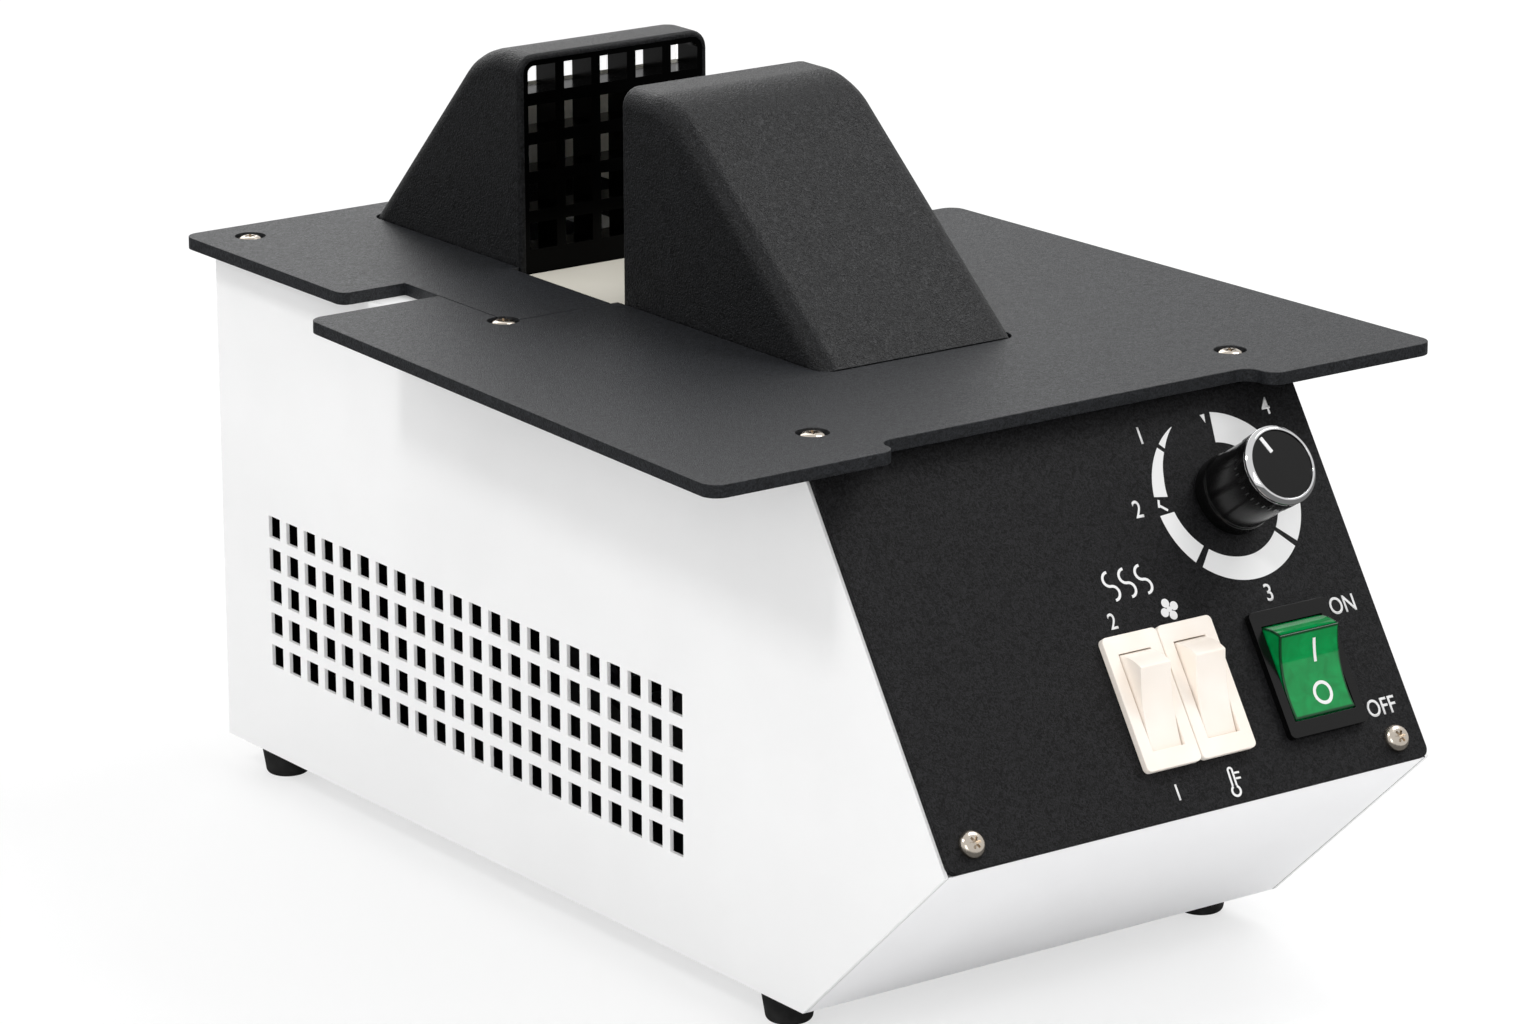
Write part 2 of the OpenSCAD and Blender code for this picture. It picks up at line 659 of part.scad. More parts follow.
// Housing with bezel, hollowed for a rocker of width rw; the frame is the panel's outer face.
module switch_body(w, l, rw) {
    difference() {
        union() {
            linear_extrude(bezel_h) rounded_box(w, l, 1.4);
            translate([0, 0, -switch_depth]) linear_extrude(switch_depth + 0.1) housing_2d(w, l);
        }
        hollow = rw + 2 * rocker_fit;
        translate([0, 0, -pivot_in]) rotate([90, 0, 90]) {
            cylinder(r = rocker_r + rocker_fit, h = hollow, center = true);
            cylinder(d = pin_d + 2 * run_fit, h = hollow + 1.6, center = true);
        }
    }
}
// Rocker about its pivot at the origin, tipped so that its upper end stands out.
module rocker(rw, tilt, hollow) rotate([tilt, 0, 0]) {
    c = sqrt(rocker_r * rocker_r - rocker_face * rocker_face);
    big = (c * c + hollow * hollow) / (2 * hollow);
    rotate([90, 0, 90]) translate([0, 0, -rw / 2]) linear_extrude(rw) difference() {
        circle(rocker_r);
        translate([0, rocker_face - hollow + big]) circle(big);
        translate([-20, rocker_face]) square([40, 20]);
        translate([-20, -30]) square([40, 25]);
    }
    rotate([90, 0, 90]) cylinder(d = pin_d, h = rw + 2 * rocker_fit + 1.2, center = true);
}
module at_switch(x, s) on_slope() translate([x, s, panel_t]) children();
module blade(l) cube([4.8, 0.8, l], center = true);

module power_switch_body() color("#1a1a1b") at_switch(power_x, power_s)
    switch_body(power_w, power_l, power_rocker_w);
module power_rocker() color("#00904a") at_switch(power_x, power_s) translate([0, 0, -pivot_in])
    rocker(power_rocker_w, power_tilt, power_hollow);
module power_tabs() color("silver") at_switch(power_x, power_s) for (x = [-5, 5], y = [-7, 7])
    translate([x, y, -switch_depth - 4]) blade(8);
module heat_switch_body() color("#fbf0e6") at_switch(heat_x, pair_s)
    switch_body(pair_w, pair_l, pair_rocker_w);
module heat_rocker() color("#fbf0e6") at_switch(heat_x, pair_s) translate([0, 0, -pivot_in])
    rocker(pair_rocker_w, pair_tilt, pair_hollow);
module fan_switch_body() color("#fbf0e6") at_switch(fan_x, pair_s)
    switch_body(pair_w, pair_l, pair_rocker_w);
module fan_rocker() color("#fbf0e6") at_switch(fan_x, pair_s) translate([0, 0, -pivot_in])
    rocker(pair_rocker_w, pair_tilt, pair_hollow);
module pair_tabs() color("silver") for (x = [heat_x, fan_x]) at_switch(x, pair_s) for (y = [-8, 0, 8])
    translate([0, y, -switch_depth - 4]) blade(8);

// ---- Knob and control ----
module at_knob() on_slope() translate([knob_x, knob_s, panel_t]) children();
module knob_body() color("#0d0d0e") at_knob() difference() {
    union() {
        top = knob_h - ring_h;
        r = knob_d / 2;
        rotate_extrude() rounded([[0, knob_clear], [r, knob_clear], [r, 4.6], [r - 0.45, 5.4],
            [r - 0.45, top], [0, top]], [0, 0.4, 0, 0, 0, 0]);
        // Collar under the ring, with a notched lower edge.
        translate([0, 0, top - 3]) cylinder(r = r - 0.1, h = 3);
        difference() {
            translate([0, 0, top - 4.4]) cylinder(r = r - 0.15, h = 1.6);
            for (a = [0:20:340]) rotate(a) translate([r - 0.1, 0, top - 5])
                cylinder(d = 1.5, h = 3, $fn = 16);
        }
    }
    translate([0, 0, -1]) cylinder(r = knob_d / 2 - 3, h = 8);
    translate([0, 0, -1]) cylinder(d = shaft_d + 2 * run_fit, h = knob_h - 4);
}
module knob_ring() color("#d9d9d9") at_knob() translate([0, 0, knob_h - ring_h]) rotate_extrude()
    polygon([[cap_r, 0], [knob_d / 2, 0], [knob_d / 2, ring_h * 0.5], [cap_r + 0.5, ring_h],
        [cap_r, ring_h]]);
module knob_cap() color("#0b0b0c") at_knob() translate([0, 0, knob_h - ring_h]) difference() {
    cylinder(r = cap_r - 0.05, h = ring_h - 0.4);
    rotate(pointer_turn) translate([-pointer_w / 2, cap_r - 5, ring_h - 0.9]) cube([pointer_w, 4.5, 2]);
}
module knob_pointer() color("white") at_knob() translate([0, 0, knob_h - ring_h]) rotate(pointer_turn)
    translate([-pointer_w / 2 + 0.05, cap_r - 4.95, ring_h - 0.9]) cube([pointer_w - 0.1, 4.4, 0.6]);
module control_shaft() color("silver") at_knob() translate([0, 0, -panel_t - pot_in + 2])
    cylinder(d = shaft_d, h = panel_t + pot_in - 2 + knob_h - 6);
module control_housing() color("#7c7c78") at_knob() difference() {
    union() {
        translate([0, 0, -panel_t - pot_in]) cylinder(d = pot_d, h = pot_in);
        translate([0, 0, -panel_t - 0.1]) cylinder(d = bush_d, h = panel_t + 5.1);
        translate([0, -pot_d / 2 - 2, -panel_t - 4]) cube([16, 6, 3], center = true);
    }
    translate([0, 0, -panel_t - pot_in + 1.9]) cylinder(d = shaft_d + 2 * run_fit, h = 30);
}
module control_nut() color("silver") at_knob() difference() {
    union() {
        cylinder(d = 12.6, h = 0.7);
        translate([0, 0, 0.7]) cylinder(d = 11.4, h = 2, $fn = 6);
    }
    translate([0, 0, -1]) cylinder(d = bush_d + 0.1, h = 10);
}
module control_lugs() color("silver") at_knob() for (x = [-5, 0, 5])
    translate([x - 1, -pot_d / 2 - 10, -panel_t - 5.9]) cube([2, 5, 0.6]);

// ---- Air duct and heater ----
function duct_outline(t) = [[out_y0 - 22 + t, -duct_h + t], [out_y1 + 22 - t, -duct_h + t],
    [duct_y1 - t, -9], [duct_y1 - t, t > 0 ? 1 : 0], [duct_y0 + t, t > 0 ? 1 : 0], [duct_y0 + t, -9]];
module air_duct() color("#b9bcc0") place() translate([0, 0, deck_low]) difference() {
    union() {
        across(duct_w) polygon(duct_outline(0));
        // Rim under the deck.
        translate([0, (duct_y0 + duct_y1) / 2, -duct_t / 2])
            cube([duct_w + 10, duct_y1 - duct_y0 + 10, duct_t], center = true);
    }
    across(duct_w - 2 * duct_t) polygon(duct_outline(duct_t));
    translate([0, out_mid, -duct_h]) cube([blower_w - 4, out_l - 4, 10], center = true);
    at_rivets() cylinder(d = shank_hole, h = 10, center = true);
    translate([duct_w / 2, gap_y - 30, -duct_h / 2]) rotate([0, 90, 0])
        cylinder(d = 10, h = 10, center = true);
}
module at_rivets() for (s = [-1, 1], y = [duct_y0 + 6, gap_y, duct_y1 - 6])
    translate([s * (duct_w / 2 + 2.6), y, 0]) children();
module duct_rivets() color("silver") place() translate([0, 0, deck_low - duct_t]) at_rivets() {
    mirror([0, 0, 1]) cylinder(d = 4.6, h = 1);
    cylinder(d = shank, h = duct_t);
}

module outlet_ring(w, l, t) difference() {
    square([w, l], center = true);
    square([w - 2 * t, l - 2 * t], center = true);
}
module heater_frame() color("#d8d2c2") place() translate([0, out_mid, heater_low]) difference() {
    linear_extrude(heater_h) outlet_ring(blower_w + 4, out_l + 4, 3);
    for (y = tube_ys) translate([0, y, heater_h / 2]) rotate([0, 90, 0])
        cylinder(d = tube_d + 0.1, h = blower_w + 20, center = true);
}
module heater_tubes() color("#8d8f92") place() translate([0, out_mid, heater_low + heater_h / 2])
    for (y = tube_ys) translate([0, y, 0]) rotate([0, 90, 0])
        cylinder(d = tube_d, h = blower_w + 10, center = true);
module heater_fins() color("#c9ccd0") place() translate([0, out_mid, heater_low + heater_h / 2])
    for (i = [0:fins - 1]) translate([(i - (fins - 1) / 2) * (blower_w - 8) / (fins - 1), 0, 0])
        rotate([90, 0, 90]) linear_extrude(0.5, center = true) difference() {
            square([out_l - 5, heater_h - 2], center = true);
            for (y = tube_ys) translate([y, 0]) circle(d = tube_d + 0.1);
        }
module thermal_cutout() color("#3b3b3d") place()
    translate([duct_w / 2, gap_y - 30, deck_low - duct_h / 2]) rotate([0, 90, 0]) {
        linear_extrude(0.8) rounded_box(14, 26, 3);
        cylinder(d = 15, h = 8);
        translate([0, 0, -3]) cylinder(d = 9.4, h = 4);
        for (y = [-4, 4]) translate([0, y, 11]) cube([5, 0.8, 7], center = true);
    }

// ---- Blower ----
// Radius of the scroll wall at angle a after its start at the top.
function scroll(a, t) = scroll_r + scroll_grow * a / 270 - t;
module scroll_2d(t, open) {
    circle(scroll_r - t);
    polygon([[0, 0], for (a = [0:15:270]) scroll(a, t) * [-sin(a), cos(a)]]);
    translate([out_y0 - blower_y + t, -1])
        square([out_l - 2 * t, heater_low - blower_z + 1 + open]);
}
module at_blower() place() translate([0, blower_y, blower_z]) children();
module blower_housing() color("#26272a") at_blower() {
    difference() {
        union() {
            across(blower_w) scroll_2d(0, 0);
            // Two feet on the floor sheet.
            for (y = blower_feet) translate([-blower_w / 2, y - 6, sheet_t - blower_z])
                cube([blower_w, 12, blower_z - sheet_t - 24]);
        }
        translate([blower_wall, 0, 0]) across(blower_w) scroll_2d(blower_wall, 1);
        translate([-blower_w / 2, 0, 0]) rotate([0, 90, 0])
            cylinder(r = wheel_r - 5, h = 20, center = true);
        for (y = blower_feet, x = foot_bolt_x * [-1, 1]) translate([x, y, -blower_z])
            cylinder(d = shank_hole, h = 8);
    }
}
module blower_cover() color("#2c2d31") at_blower() difference() {
    translate([(blower_w + cover_t) / 2, 0, 0]) across(cover_t) scroll_2d(0, 0);
    rotate([0, 90, 0]) cylinder(d = 12, h = blower_w);
    for (a = [45, 225]) rotate([a, 0, 0]) translate([0, motor_bolt_r, 0]) rotate([0, 90, 0])
        cylinder(d = shank_hole, h = blower_w);
}
module blower_wheel() color("#9a9ca0") at_blower() {
    translate([-blower_w / 2 + wheel_gap, 0, 0]) rotate([90, 0, 90]) {
        linear_extrude(wheel_l) for (i = [0:blades - 1]) rotate(i * 360 / blades) intersection() {
            translate([wheel_r - 5.2, 0]) difference() {
                circle(r = 6);
                circle(r = 5.4);
            }
            translate([wheel_r - 6.2, -8]) square([5.4, 8]);
        }
        linear_extrude(1.6) difference() {
            circle(wheel_r);
            circle(wheel_r - 6.4);
        }
        translate([0, 0, wheel_l - 1.6]) linear_extrude(1.6) difference() {
            circle(wheel_r);
            circle(d = motor_shaft_d + 2 * run_fit);
        }
        translate([0, 0, wheel_l - hub_l]) linear_extrude(hub_l) difference() {
            circle(6);
            circle(d = motor_shaft_d + 2 * run_fit);
        }
    }
}
module motor_shaft() color("silver") at_blower()
    translate([blower_w / 2 - wheel_back - hub_l - shaft_nose, 0, 0]) rotate([0, 90, 0])
        cylinder(d = motor_shaft_d, h = shaft_l);
module at_motor() at_blower() translate([blower_w / 2 + cover_t, 0, 0]) rotate([0, 90, 0]) children();
module motor_can() color("#6f7276") at_motor() difference() {
    cylinder(d = motor_d, h = motor_l);
    translate([0, 0, 2]) cylinder(d = 10.2, h = motor_l - 4);
    translate([0, 0, -1]) cylinder(d = 8.2, h = motor_l + 2);
    for (a = [45, 225]) rotate(a) translate([0, motor_bolt_r, -1]) cylinder(d = shank_hole, h = 9);
    for (a = [0:45:315]) rotate(a + 22.5) translate([11, 0, motor_l - 3]) cylinder(d = 4, h = 5);
}
module motor_bearings() color("#b08d57") at_motor() for (z = [2.1, motor_l - 6.1]) translate([0, 0, z])
    difference() {
        cylinder(d = 10, h = 4);
        translate([0, 0, -1]) cylinder(d = motor_shaft_d + 2 * run_fit, h = 6);
    }
module blower_screws() color("silver") at_blower() {
    for (a = [45, 225]) rotate([a, 0, 0]) translate([blower_w / 2, motor_bolt_r, 0]) rotate([0, -90, 0])
        pan_screw(8, 5.6, 1.6);
    for (y = blower_feet, x = foot_bolt_x * [-1, 1]) translate([x, y, -blower_z])
        mirror([0, 0, 1]) pan_screw(7, 5.6, 1.6);
}

// ---- Control board ----
module at_board() place() translate([0, board_y, board_z]) children();
module control_board() color("#1f6b45") at_board() difference() {
    linear_extrude(board_t) rounded_box(board_w, board_l, 2);
    for (p = board_spots) translate([p[0], p[1], -1]) cylinder(d = shank_hole, h = 4);
}
module board_parts() color("#3d3f44") at_board() translate([0, 0, board_t]) {
    // Two relays, a screw terminal strip, a capacitor and a finned heat sink.
    for (x = [-relay_pitch, 0]) translate([x - relay_w / 2, 2, 0]) linear_extrude(relay_h)
        rounded([[0, 0], [relay_w, 0], [relay_w, relay_l], [0, relay_l]], [1, 1, 1, 1]);
    difference() {
        translate([-26, -22, 0]) rotate([90, 0, 90]) linear_extrude(44)
            polygon([[0, 0], [9, 0], [9, 7], [6, 11], [2, 11], [0, 7]]);
        for (i = [0:5]) translate([-22 + i * 7.2, -17.8, 4]) cylinder(d = 4, h = 20);
    }
    translate([14, -2, 0]) cylinder(d = 9, h = 14);
    translate([19.5, 0, 0]) {
        for (i = [0:4]) translate([0, i * 4, 0]) cube([12, 1.4, sink_h]);
        cube([2, 4 * 4 + 1.4, sink_h]);
    }
}
module board_pillars() color("#cfae6a") place() for (p = board_spots)
    translate([p[0], board_y + p[1], sheet_t]) {
        cylinder(d = 6, h = board_z - sheet_t);
        cylinder(d = shank, h = board_z - sheet_t + board_t);
        translate([0, 0, board_z - sheet_t + board_t]) cylinder(d = 5.4, h = 1.6);
    }

// ---- Mains inlet ----
module at_inlet() place() translate([inlet_x, case_d, inlet_z]) rotate([-90, 0, 0]) children();
module inlet_socket() color("#161617") at_inlet() difference() {
    w = inlet_flange_w / 2;
    h = inlet_flange_h / 2;
    f = inlet_flange_flat / 2;
    union() {
        linear_extrude(2.4)
            rounded([[-w, 0], [-f, -h], [f, -h], [w, 0], [f, h], [-f, h]], [2, 3, 3, 2, 3, 3]);
        translate([0, 0, -18]) linear_extrude(18.1) rounded_box(inlet_body_w, inlet_body_h, 2);
    }
    translate([0, 0, -15]) linear_extrude(20) rounded([[-12, -8.2], [12, -8.2], [12, 3.4], [7.4, 8.2],
        [-7.4, 8.2], [-12, 3.4]], [1, 1, 1, 1, 1, 1]);
    for (s = [-1, 1]) translate([s * inlet_screw_x, 0, -1]) {
        cylinder(d = shank_hole, h = 10);
        translate([0, 0, 1.8]) cylinder(d1 = shank_hole, d2 = 6.6, h = 1.61);
    }
    for (p = pin_spots) translate([p[0], p[1], -20]) cube([4.2, 2.2, 20], center = true);
}
module inlet_pins() color("#c9a968") at_inlet() for (p = pin_spots)
    translate([p[0], p[1], -13.5]) cube([4, 2, 23], center = true);
module inlet_screws() color("silver") at_inlet() for (s = [-1, 1]) translate([s * inlet_screw_x, 0, 0]) {
    translate([0, 0, 0.8]) cylinder(d1 = shank, d2 = 6.2, h = 1.6);
    translate([0, 0, -8]) cylinder(d = shank, h = 9);
}

base_pan();
left_side_panel();
right_side_panel();
back_panel();
deck_sheet();
control_panel();
front_top_plate();
rear_top_plate();
well_tray();
front_hood();
rear_hood();
front_grille();
rear_grille();
front_liner();
rear_liner();
hood_screws();
plate_screws();
panel_screws();
back_screws();
feet();
foot_screws();
foot_nuts();
knob_body();
knob_ring();
knob_cap();
knob_pointer();
control_shaft();
control_housing();
control_nut();
control_lugs();
power_switch_body();
power_rocker();
power_tabs();
heat_switch_body();
heat_rocker();
fan_switch_body();
fan_rocker();
pair_tabs();
air_duct();
duct_rivets();
heater_frame();
heater_tubes();
heater_fins();
thermal_cutout();
blower_housing();
blower_cover();
blower_wheel();
motor_shaft();
motor_can();
motor_bearings();
blower_screws();
control_board();
board_parts();
board_pillars();
inlet_socket();
inlet_pins();
inlet_screws();
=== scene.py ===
"""Finishes, printed marks, softened edges and studio for an eyeglass frame warmer.

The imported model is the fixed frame. Its nodes keep their places; this script dresses them and adds
the pieces that need a finer surface: rounded sheet edges, pressed hoods, moulded rockers, the knob,
and the white marks printed on the control panel. All lengths are metres unless a name ends in _mm.
"""

import json
import logging
import math
from dataclasses import dataclass, field, replace
from enum import Enum

import bmesh
import bpy
from mathutils import Matrix, Vector


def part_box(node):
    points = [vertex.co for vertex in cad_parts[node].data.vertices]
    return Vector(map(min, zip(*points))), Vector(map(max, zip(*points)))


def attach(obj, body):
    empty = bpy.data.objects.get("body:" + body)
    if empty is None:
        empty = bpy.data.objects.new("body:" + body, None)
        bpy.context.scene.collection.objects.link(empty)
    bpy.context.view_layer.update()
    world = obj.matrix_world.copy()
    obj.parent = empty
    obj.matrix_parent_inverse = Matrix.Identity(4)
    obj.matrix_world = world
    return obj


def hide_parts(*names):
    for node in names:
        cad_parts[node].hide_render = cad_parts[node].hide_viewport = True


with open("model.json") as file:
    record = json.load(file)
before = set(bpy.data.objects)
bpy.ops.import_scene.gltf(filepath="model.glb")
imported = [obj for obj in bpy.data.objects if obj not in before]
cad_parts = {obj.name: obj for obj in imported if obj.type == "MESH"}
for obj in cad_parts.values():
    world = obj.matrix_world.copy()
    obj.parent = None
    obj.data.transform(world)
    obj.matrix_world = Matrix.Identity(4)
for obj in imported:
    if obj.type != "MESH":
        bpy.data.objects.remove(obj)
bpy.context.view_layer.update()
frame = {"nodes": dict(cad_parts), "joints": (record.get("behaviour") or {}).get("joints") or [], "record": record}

log = logging.getLogger("frame_warmer")

Tree = bpy.types.NodeTree
Socket = bpy.types.NodeSocket
Mesh = bmesh.types.BMesh
Edge = bmesh.types.BMEdge
Vert = bmesh.types.BMVert

MM = 0.001


def linear(code: str) -> tuple[float, float, float, float]:
    """Turn an sRGB hex colour into the linear colour that a shader socket takes.

    Args:
        code: six hex digits with a leading hash.

    Returns:
        Red, green, blue and full alpha, all linear.
    """
    parts = [int(code[i : i + 2], 16) / 255 for i in (1, 3, 5)]
    rgb = [p / 12.92 if p <= 0.04045 else ((p + 0.055) / 1.055) ** 2.4 for p in parts]
    return (*rgb, 1.0)


def add(tree: Tree, kind: str, inputs: dict | None = None, **settings) -> bpy.types.Node:
    """Add one shader node.

    Args:
        tree: the node tree that gets it.
        kind: the node's type name.
        inputs: a value, or a socket to link from, for each named or numbered input.
        **settings: properties of the node itself.

    Returns:
        The new node.
    """
    made = tree.nodes.new(kind)
    for key, value in settings.items():
        setattr(made, key, value)
    for socket, value in (inputs or {}).items():
        if isinstance(value, Socket):
            tree.links.new(value, made.inputs[socket])
        else:
            made.inputs[socket].default_value = value
    return made


# ---- Measured shapes ----


@dataclass(frozen=True)
class RockerShape:
    """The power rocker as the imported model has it: a hollow face between two round ends.

    Attributes:
        normal: the control panel's normal.
        tilt: lean of the rocker at rest, in degrees.
        end_mm: radius of its ends about the pivot.
        face_mm: distance of the top of its face from the pivot.
        hollow_mm: depth of the hollow.
    """

    pivot: Vector
    normal: Vector
    tilt: float = 14.0
    wide_mm: float = 18.8
    end_mm: float = 13.0
    face_mm: float = 8.0
    hollow_mm: float = 2.1

    @classmethod
    def read(cls) -> "RockerShape":
        """Take the pivot and the panel's normal from the frame's joints."""
        joints = {j["name"]: j for j in frame["joints"]}
        return cls(Vector(joints["power_press"]["pos_m"]), Vector(joints["knob_turn"]["axis"]))

    def hollow_radius_mm(self) -> float:
        """Radius of the hollow that leaves the face and its two ends."""
        half = math.sqrt(self.end_mm**2 - self.face_mm**2)
        return (half**2 + self.hollow_mm**2) / (2 * self.hollow_mm)

    def axes(self) -> Matrix:
        """Rotation whose columns run across the rocker, up along it and out of its face."""
        up = Vector((0, self.normal.z, -self.normal.y))
        lean = Matrix.Rotation(math.radians(self.tilt), 3, "X")
        return (lean @ Matrix((Vector((1, 0, 0)), up, self.normal)).transposed()).to_3x3()

    def hollow_axis(self) -> Vector:
        """A point on the axis of the hollow."""
        away = (self.face_mm - self.hollow_mm + self.hollow_radius_mm()) * MM
        return self.pivot + self.axes() @ Vector((0, 0, away))

    def height_mm(self, v_mm: float) -> float:
        """Height of the face above the pivot, v_mm up along the rocker."""
        radius = self.hollow_radius_mm()
        return self.face_mm - self.hollow_mm + radius - math.sqrt(radius**2 - v_mm**2)


# ---- Finishes ----


@dataclass(frozen=True)
class Paint:
    """A material in the making, with its Principled shader and the place that its patterns read."""

    tree: Tree
    shader: bpy.types.Node
    place: Socket

    def into(self, name: str, value: Socket) -> None:
        """Link a value to an input of the shader."""
        self.tree.links.new(value, self.shader.inputs[name])

    def math(self, operation: str, *values: Socket | float) -> Socket:
        """Work on numbers with one math node."""
        return add(self.tree, "ShaderNodeMath", dict(enumerate(values)), operation=operation).outputs[0]

    def vector(self, operation: str, *values: Socket | tuple, output: str = "Vector") -> Socket:
        """Work on vectors with one vector math node."""
        made = add(self.tree, "ShaderNodeVectorMath", dict(enumerate(values)), operation=operation)
        return made.outputs[output]

    def speckle(self, size_mm: float, detail: float = 2.0, rough: float = 0.5, twist: float = 0.0) -> Socket:
        """Noise whose blobs are about size_mm across.

        Args:
            size_mm: the real size of one blob.
            detail: octaves of finer noise on it.
            rough: strength of those octaves.
            twist: how far the noise is bent by itself.

        Returns:
            The noise value, about 0.5 in the mean.
        """
        noise = add(self.tree, "ShaderNodeTexNoise", {
            "Vector": self.place, "Scale": 1 / (size_mm * MM), "Detail": detail, "Roughness": rough,
            "Distortion": twist})
        return noise.outputs["Fac"]

    def ramp(self, value: Socket, low: float, high: float, start: float = 0.3, stop: float = 0.7) -> Socket:
        """Map a value from start..stop to low..high; a noise value fills the default range."""
        mapped = add(self.tree, "ShaderNodeMapRange", {
            "Value": value, "From Min": start, "From Max": stop, "To Min": low, "To Max": high})
        return mapped.outputs["Result"]

    def mix(self, share: Socket, first: Socket | str, second: str) -> Socket:
        """Mix two colours, the first a socket or a hex code, by a share from 0 to 1."""
        start = linear(first) if isinstance(first, str) else first
        mixed = add(self.tree, "ShaderNodeMix", {0: share, 6: start, 7: linear(second)}, data_type="RGBA")
        return mixed.outputs[2]

    def bump(self, height: Socket, depth_mm: float) -> None:
        """Roughen the surface by a height from 0 to 1 that stands for depth_mm."""
        bent = add(self.tree, "ShaderNodeBump", {"Height": height, "Distance": depth_mm * MM})
        self.into("Normal", bent.outputs["Normal"])

    def vary_gloss(self, roughness: float, size_mm: float, share: float) -> None:
        """Let the roughness drift by a share of itself, as handling and wiping do."""
        noise = self.speckle(size_mm, detail=3.0)
        self.into("Roughness", self.ramp(noise, roughness * (1 - share), roughness * (1 + share)))


@dataclass(frozen=True)
class Finish:
    """A surface finish: what every material of this object has in common."""

    name: str
    colour: str
    roughness: float = 0.5
    metallic: float = 0.0
    specular: float = 0.5

    def build(self) -> bpy.types.Material:
        """Make the material.

        Returns:
            The new material, with the patterns of this finish.
        """
        material = bpy.data.materials.new(self.name)
        material.use_nodes = True
        material.diffuse_color = linear(self.colour)
        tree = material.node_tree
        shader = next(n for n in tree.nodes if n.type == "BSDF_PRINCIPLED")
        for name, value in (("Base Color", linear(self.colour)), ("Roughness", self.roughness),
                            ("Metallic", self.metallic), ("Specular IOR Level", self.specular)):
            shader.inputs[name].default_value = value
        self.dress(Paint(tree, shader, add(tree, "ShaderNodeTexCoord").outputs["Object"]))
        return material

    def dress(self, paint: Paint) -> None:
        """Add the pattern of this finish to the material in the making."""
        raise NotImplementedError


@dataclass(frozen=True)
class PowderCoat(Finish):
    """Baked powder paint on steel sheet: an even satin skin with a faint orange peel."""

    roughness: float = 0.42
    specular: float = 0.4
    shade: str = "#e6e6e7"
    drift_mm: float = 45.0
    peel_mm: float = 1.6
    peel_depth_mm: float = 0.012

    def dress(self, paint: Paint) -> None:
        """Add slow colour drift and the orange peel."""
        drift = paint.ramp(paint.speckle(self.drift_mm), 0.0, 1.0)
        paint.into("Base Color", paint.mix(drift, self.shade, self.colour))
        paint.bump(paint.speckle(self.peel_mm, detail=1.0), self.peel_depth_mm)


@dataclass(frozen=True)
class InnerToneCoat(PowderCoat):
    """The same paint on a sheet whose inner side has another colour, matt black where nothing else is said.

    The inner side is the part of the sheet that lies past all the planes in inner, each given as a
    normal and an offset in metres: a point is inside where its product with the normal is above the offset.
    With a glow, the inner side gives off light of its own in its colour.
    """

    inner: tuple[tuple[tuple[float, float, float], float], ...] = ()
    inner_colour: str = "#050505"
    inner_glow: float = 0.0

    def dress(self, paint: Paint) -> None:
        """Add the paint, then the inner side and the light that it gives off."""
        super().dress(paint)
        mask = 1.0
        for normal, offset in self.inner:
            reach = paint.vector("DOT_PRODUCT", paint.place, normal, output="Value")
            mask = paint.math("MULTIPLY", mask, paint.math("GREATER_THAN", reach, offset))
        outside = paint.shader.inputs["Base Color"].links[0].from_socket
        paint.into("Base Color", paint.mix(mask, outside, self.inner_colour))
        if self.inner_glow > 0:
            paint.shader.inputs["Emission Color"].default_value = linear(self.inner_colour)
            paint.into("Emission Strength", paint.math("MULTIPLY", mask, self.inner_glow))


@dataclass(frozen=True)
class LeatherGrain(Finish):
    """Black wrinkle coat with a leather grain: short curled ridges that break up a soft sheen."""

    light: str = "#3a3a3c"
    grain_mm: float = 1.5
    depth_mm: float = 0.09
    curl: float = 2.2
    shine: float = 0.12

    def dress(self, paint: Paint) -> None:
        """Add the curled ridges, their worn, glossier tops and the pores between them."""
        ridges = paint.speckle(self.grain_mm, detail=3.0, rough=0.55, twist=self.curl)
        pores = paint.speckle(self.grain_mm / 3)
        paint.bump(paint.math("MULTIPLY_ADD", ridges, 0.75, pores), self.depth_mm)
        paint.into("Base Color", paint.mix(paint.ramp(ridges, 0.0, 1.0, 0.4, 0.62), self.colour, self.light))
        dull, glossy = self.roughness * (1 + self.shine), self.roughness * (1 - self.shine)
        paint.into("Roughness", paint.ramp(ridges, dull, glossy, 0.4, 0.6))


@dataclass(frozen=True)
class Moulding(Finish):
    """Injection moulded plastic: even colour, a soft gloss and very faint flow marks."""

    roughness: float = 0.3
    shade: str = ""
    flow_mm: float = 9.0
    skin_mm: float = 0.5
    skin_depth_mm: float = 0.006

    def dress(self, paint: Paint) -> None:
        """Add flow marks in tone and gloss, and the skin of the mould."""
        if self.shade:
            drift = paint.ramp(paint.speckle(self.flow_mm, detail=1.0), 0.0, 1.0)
            paint.into("Base Color", paint.mix(drift, self.shade, self.colour))
        paint.bump(paint.speckle(self.skin_mm, detail=1.0), self.skin_depth_mm)
        paint.vary_gloss(self.roughness, self.flow_mm, 0.15)


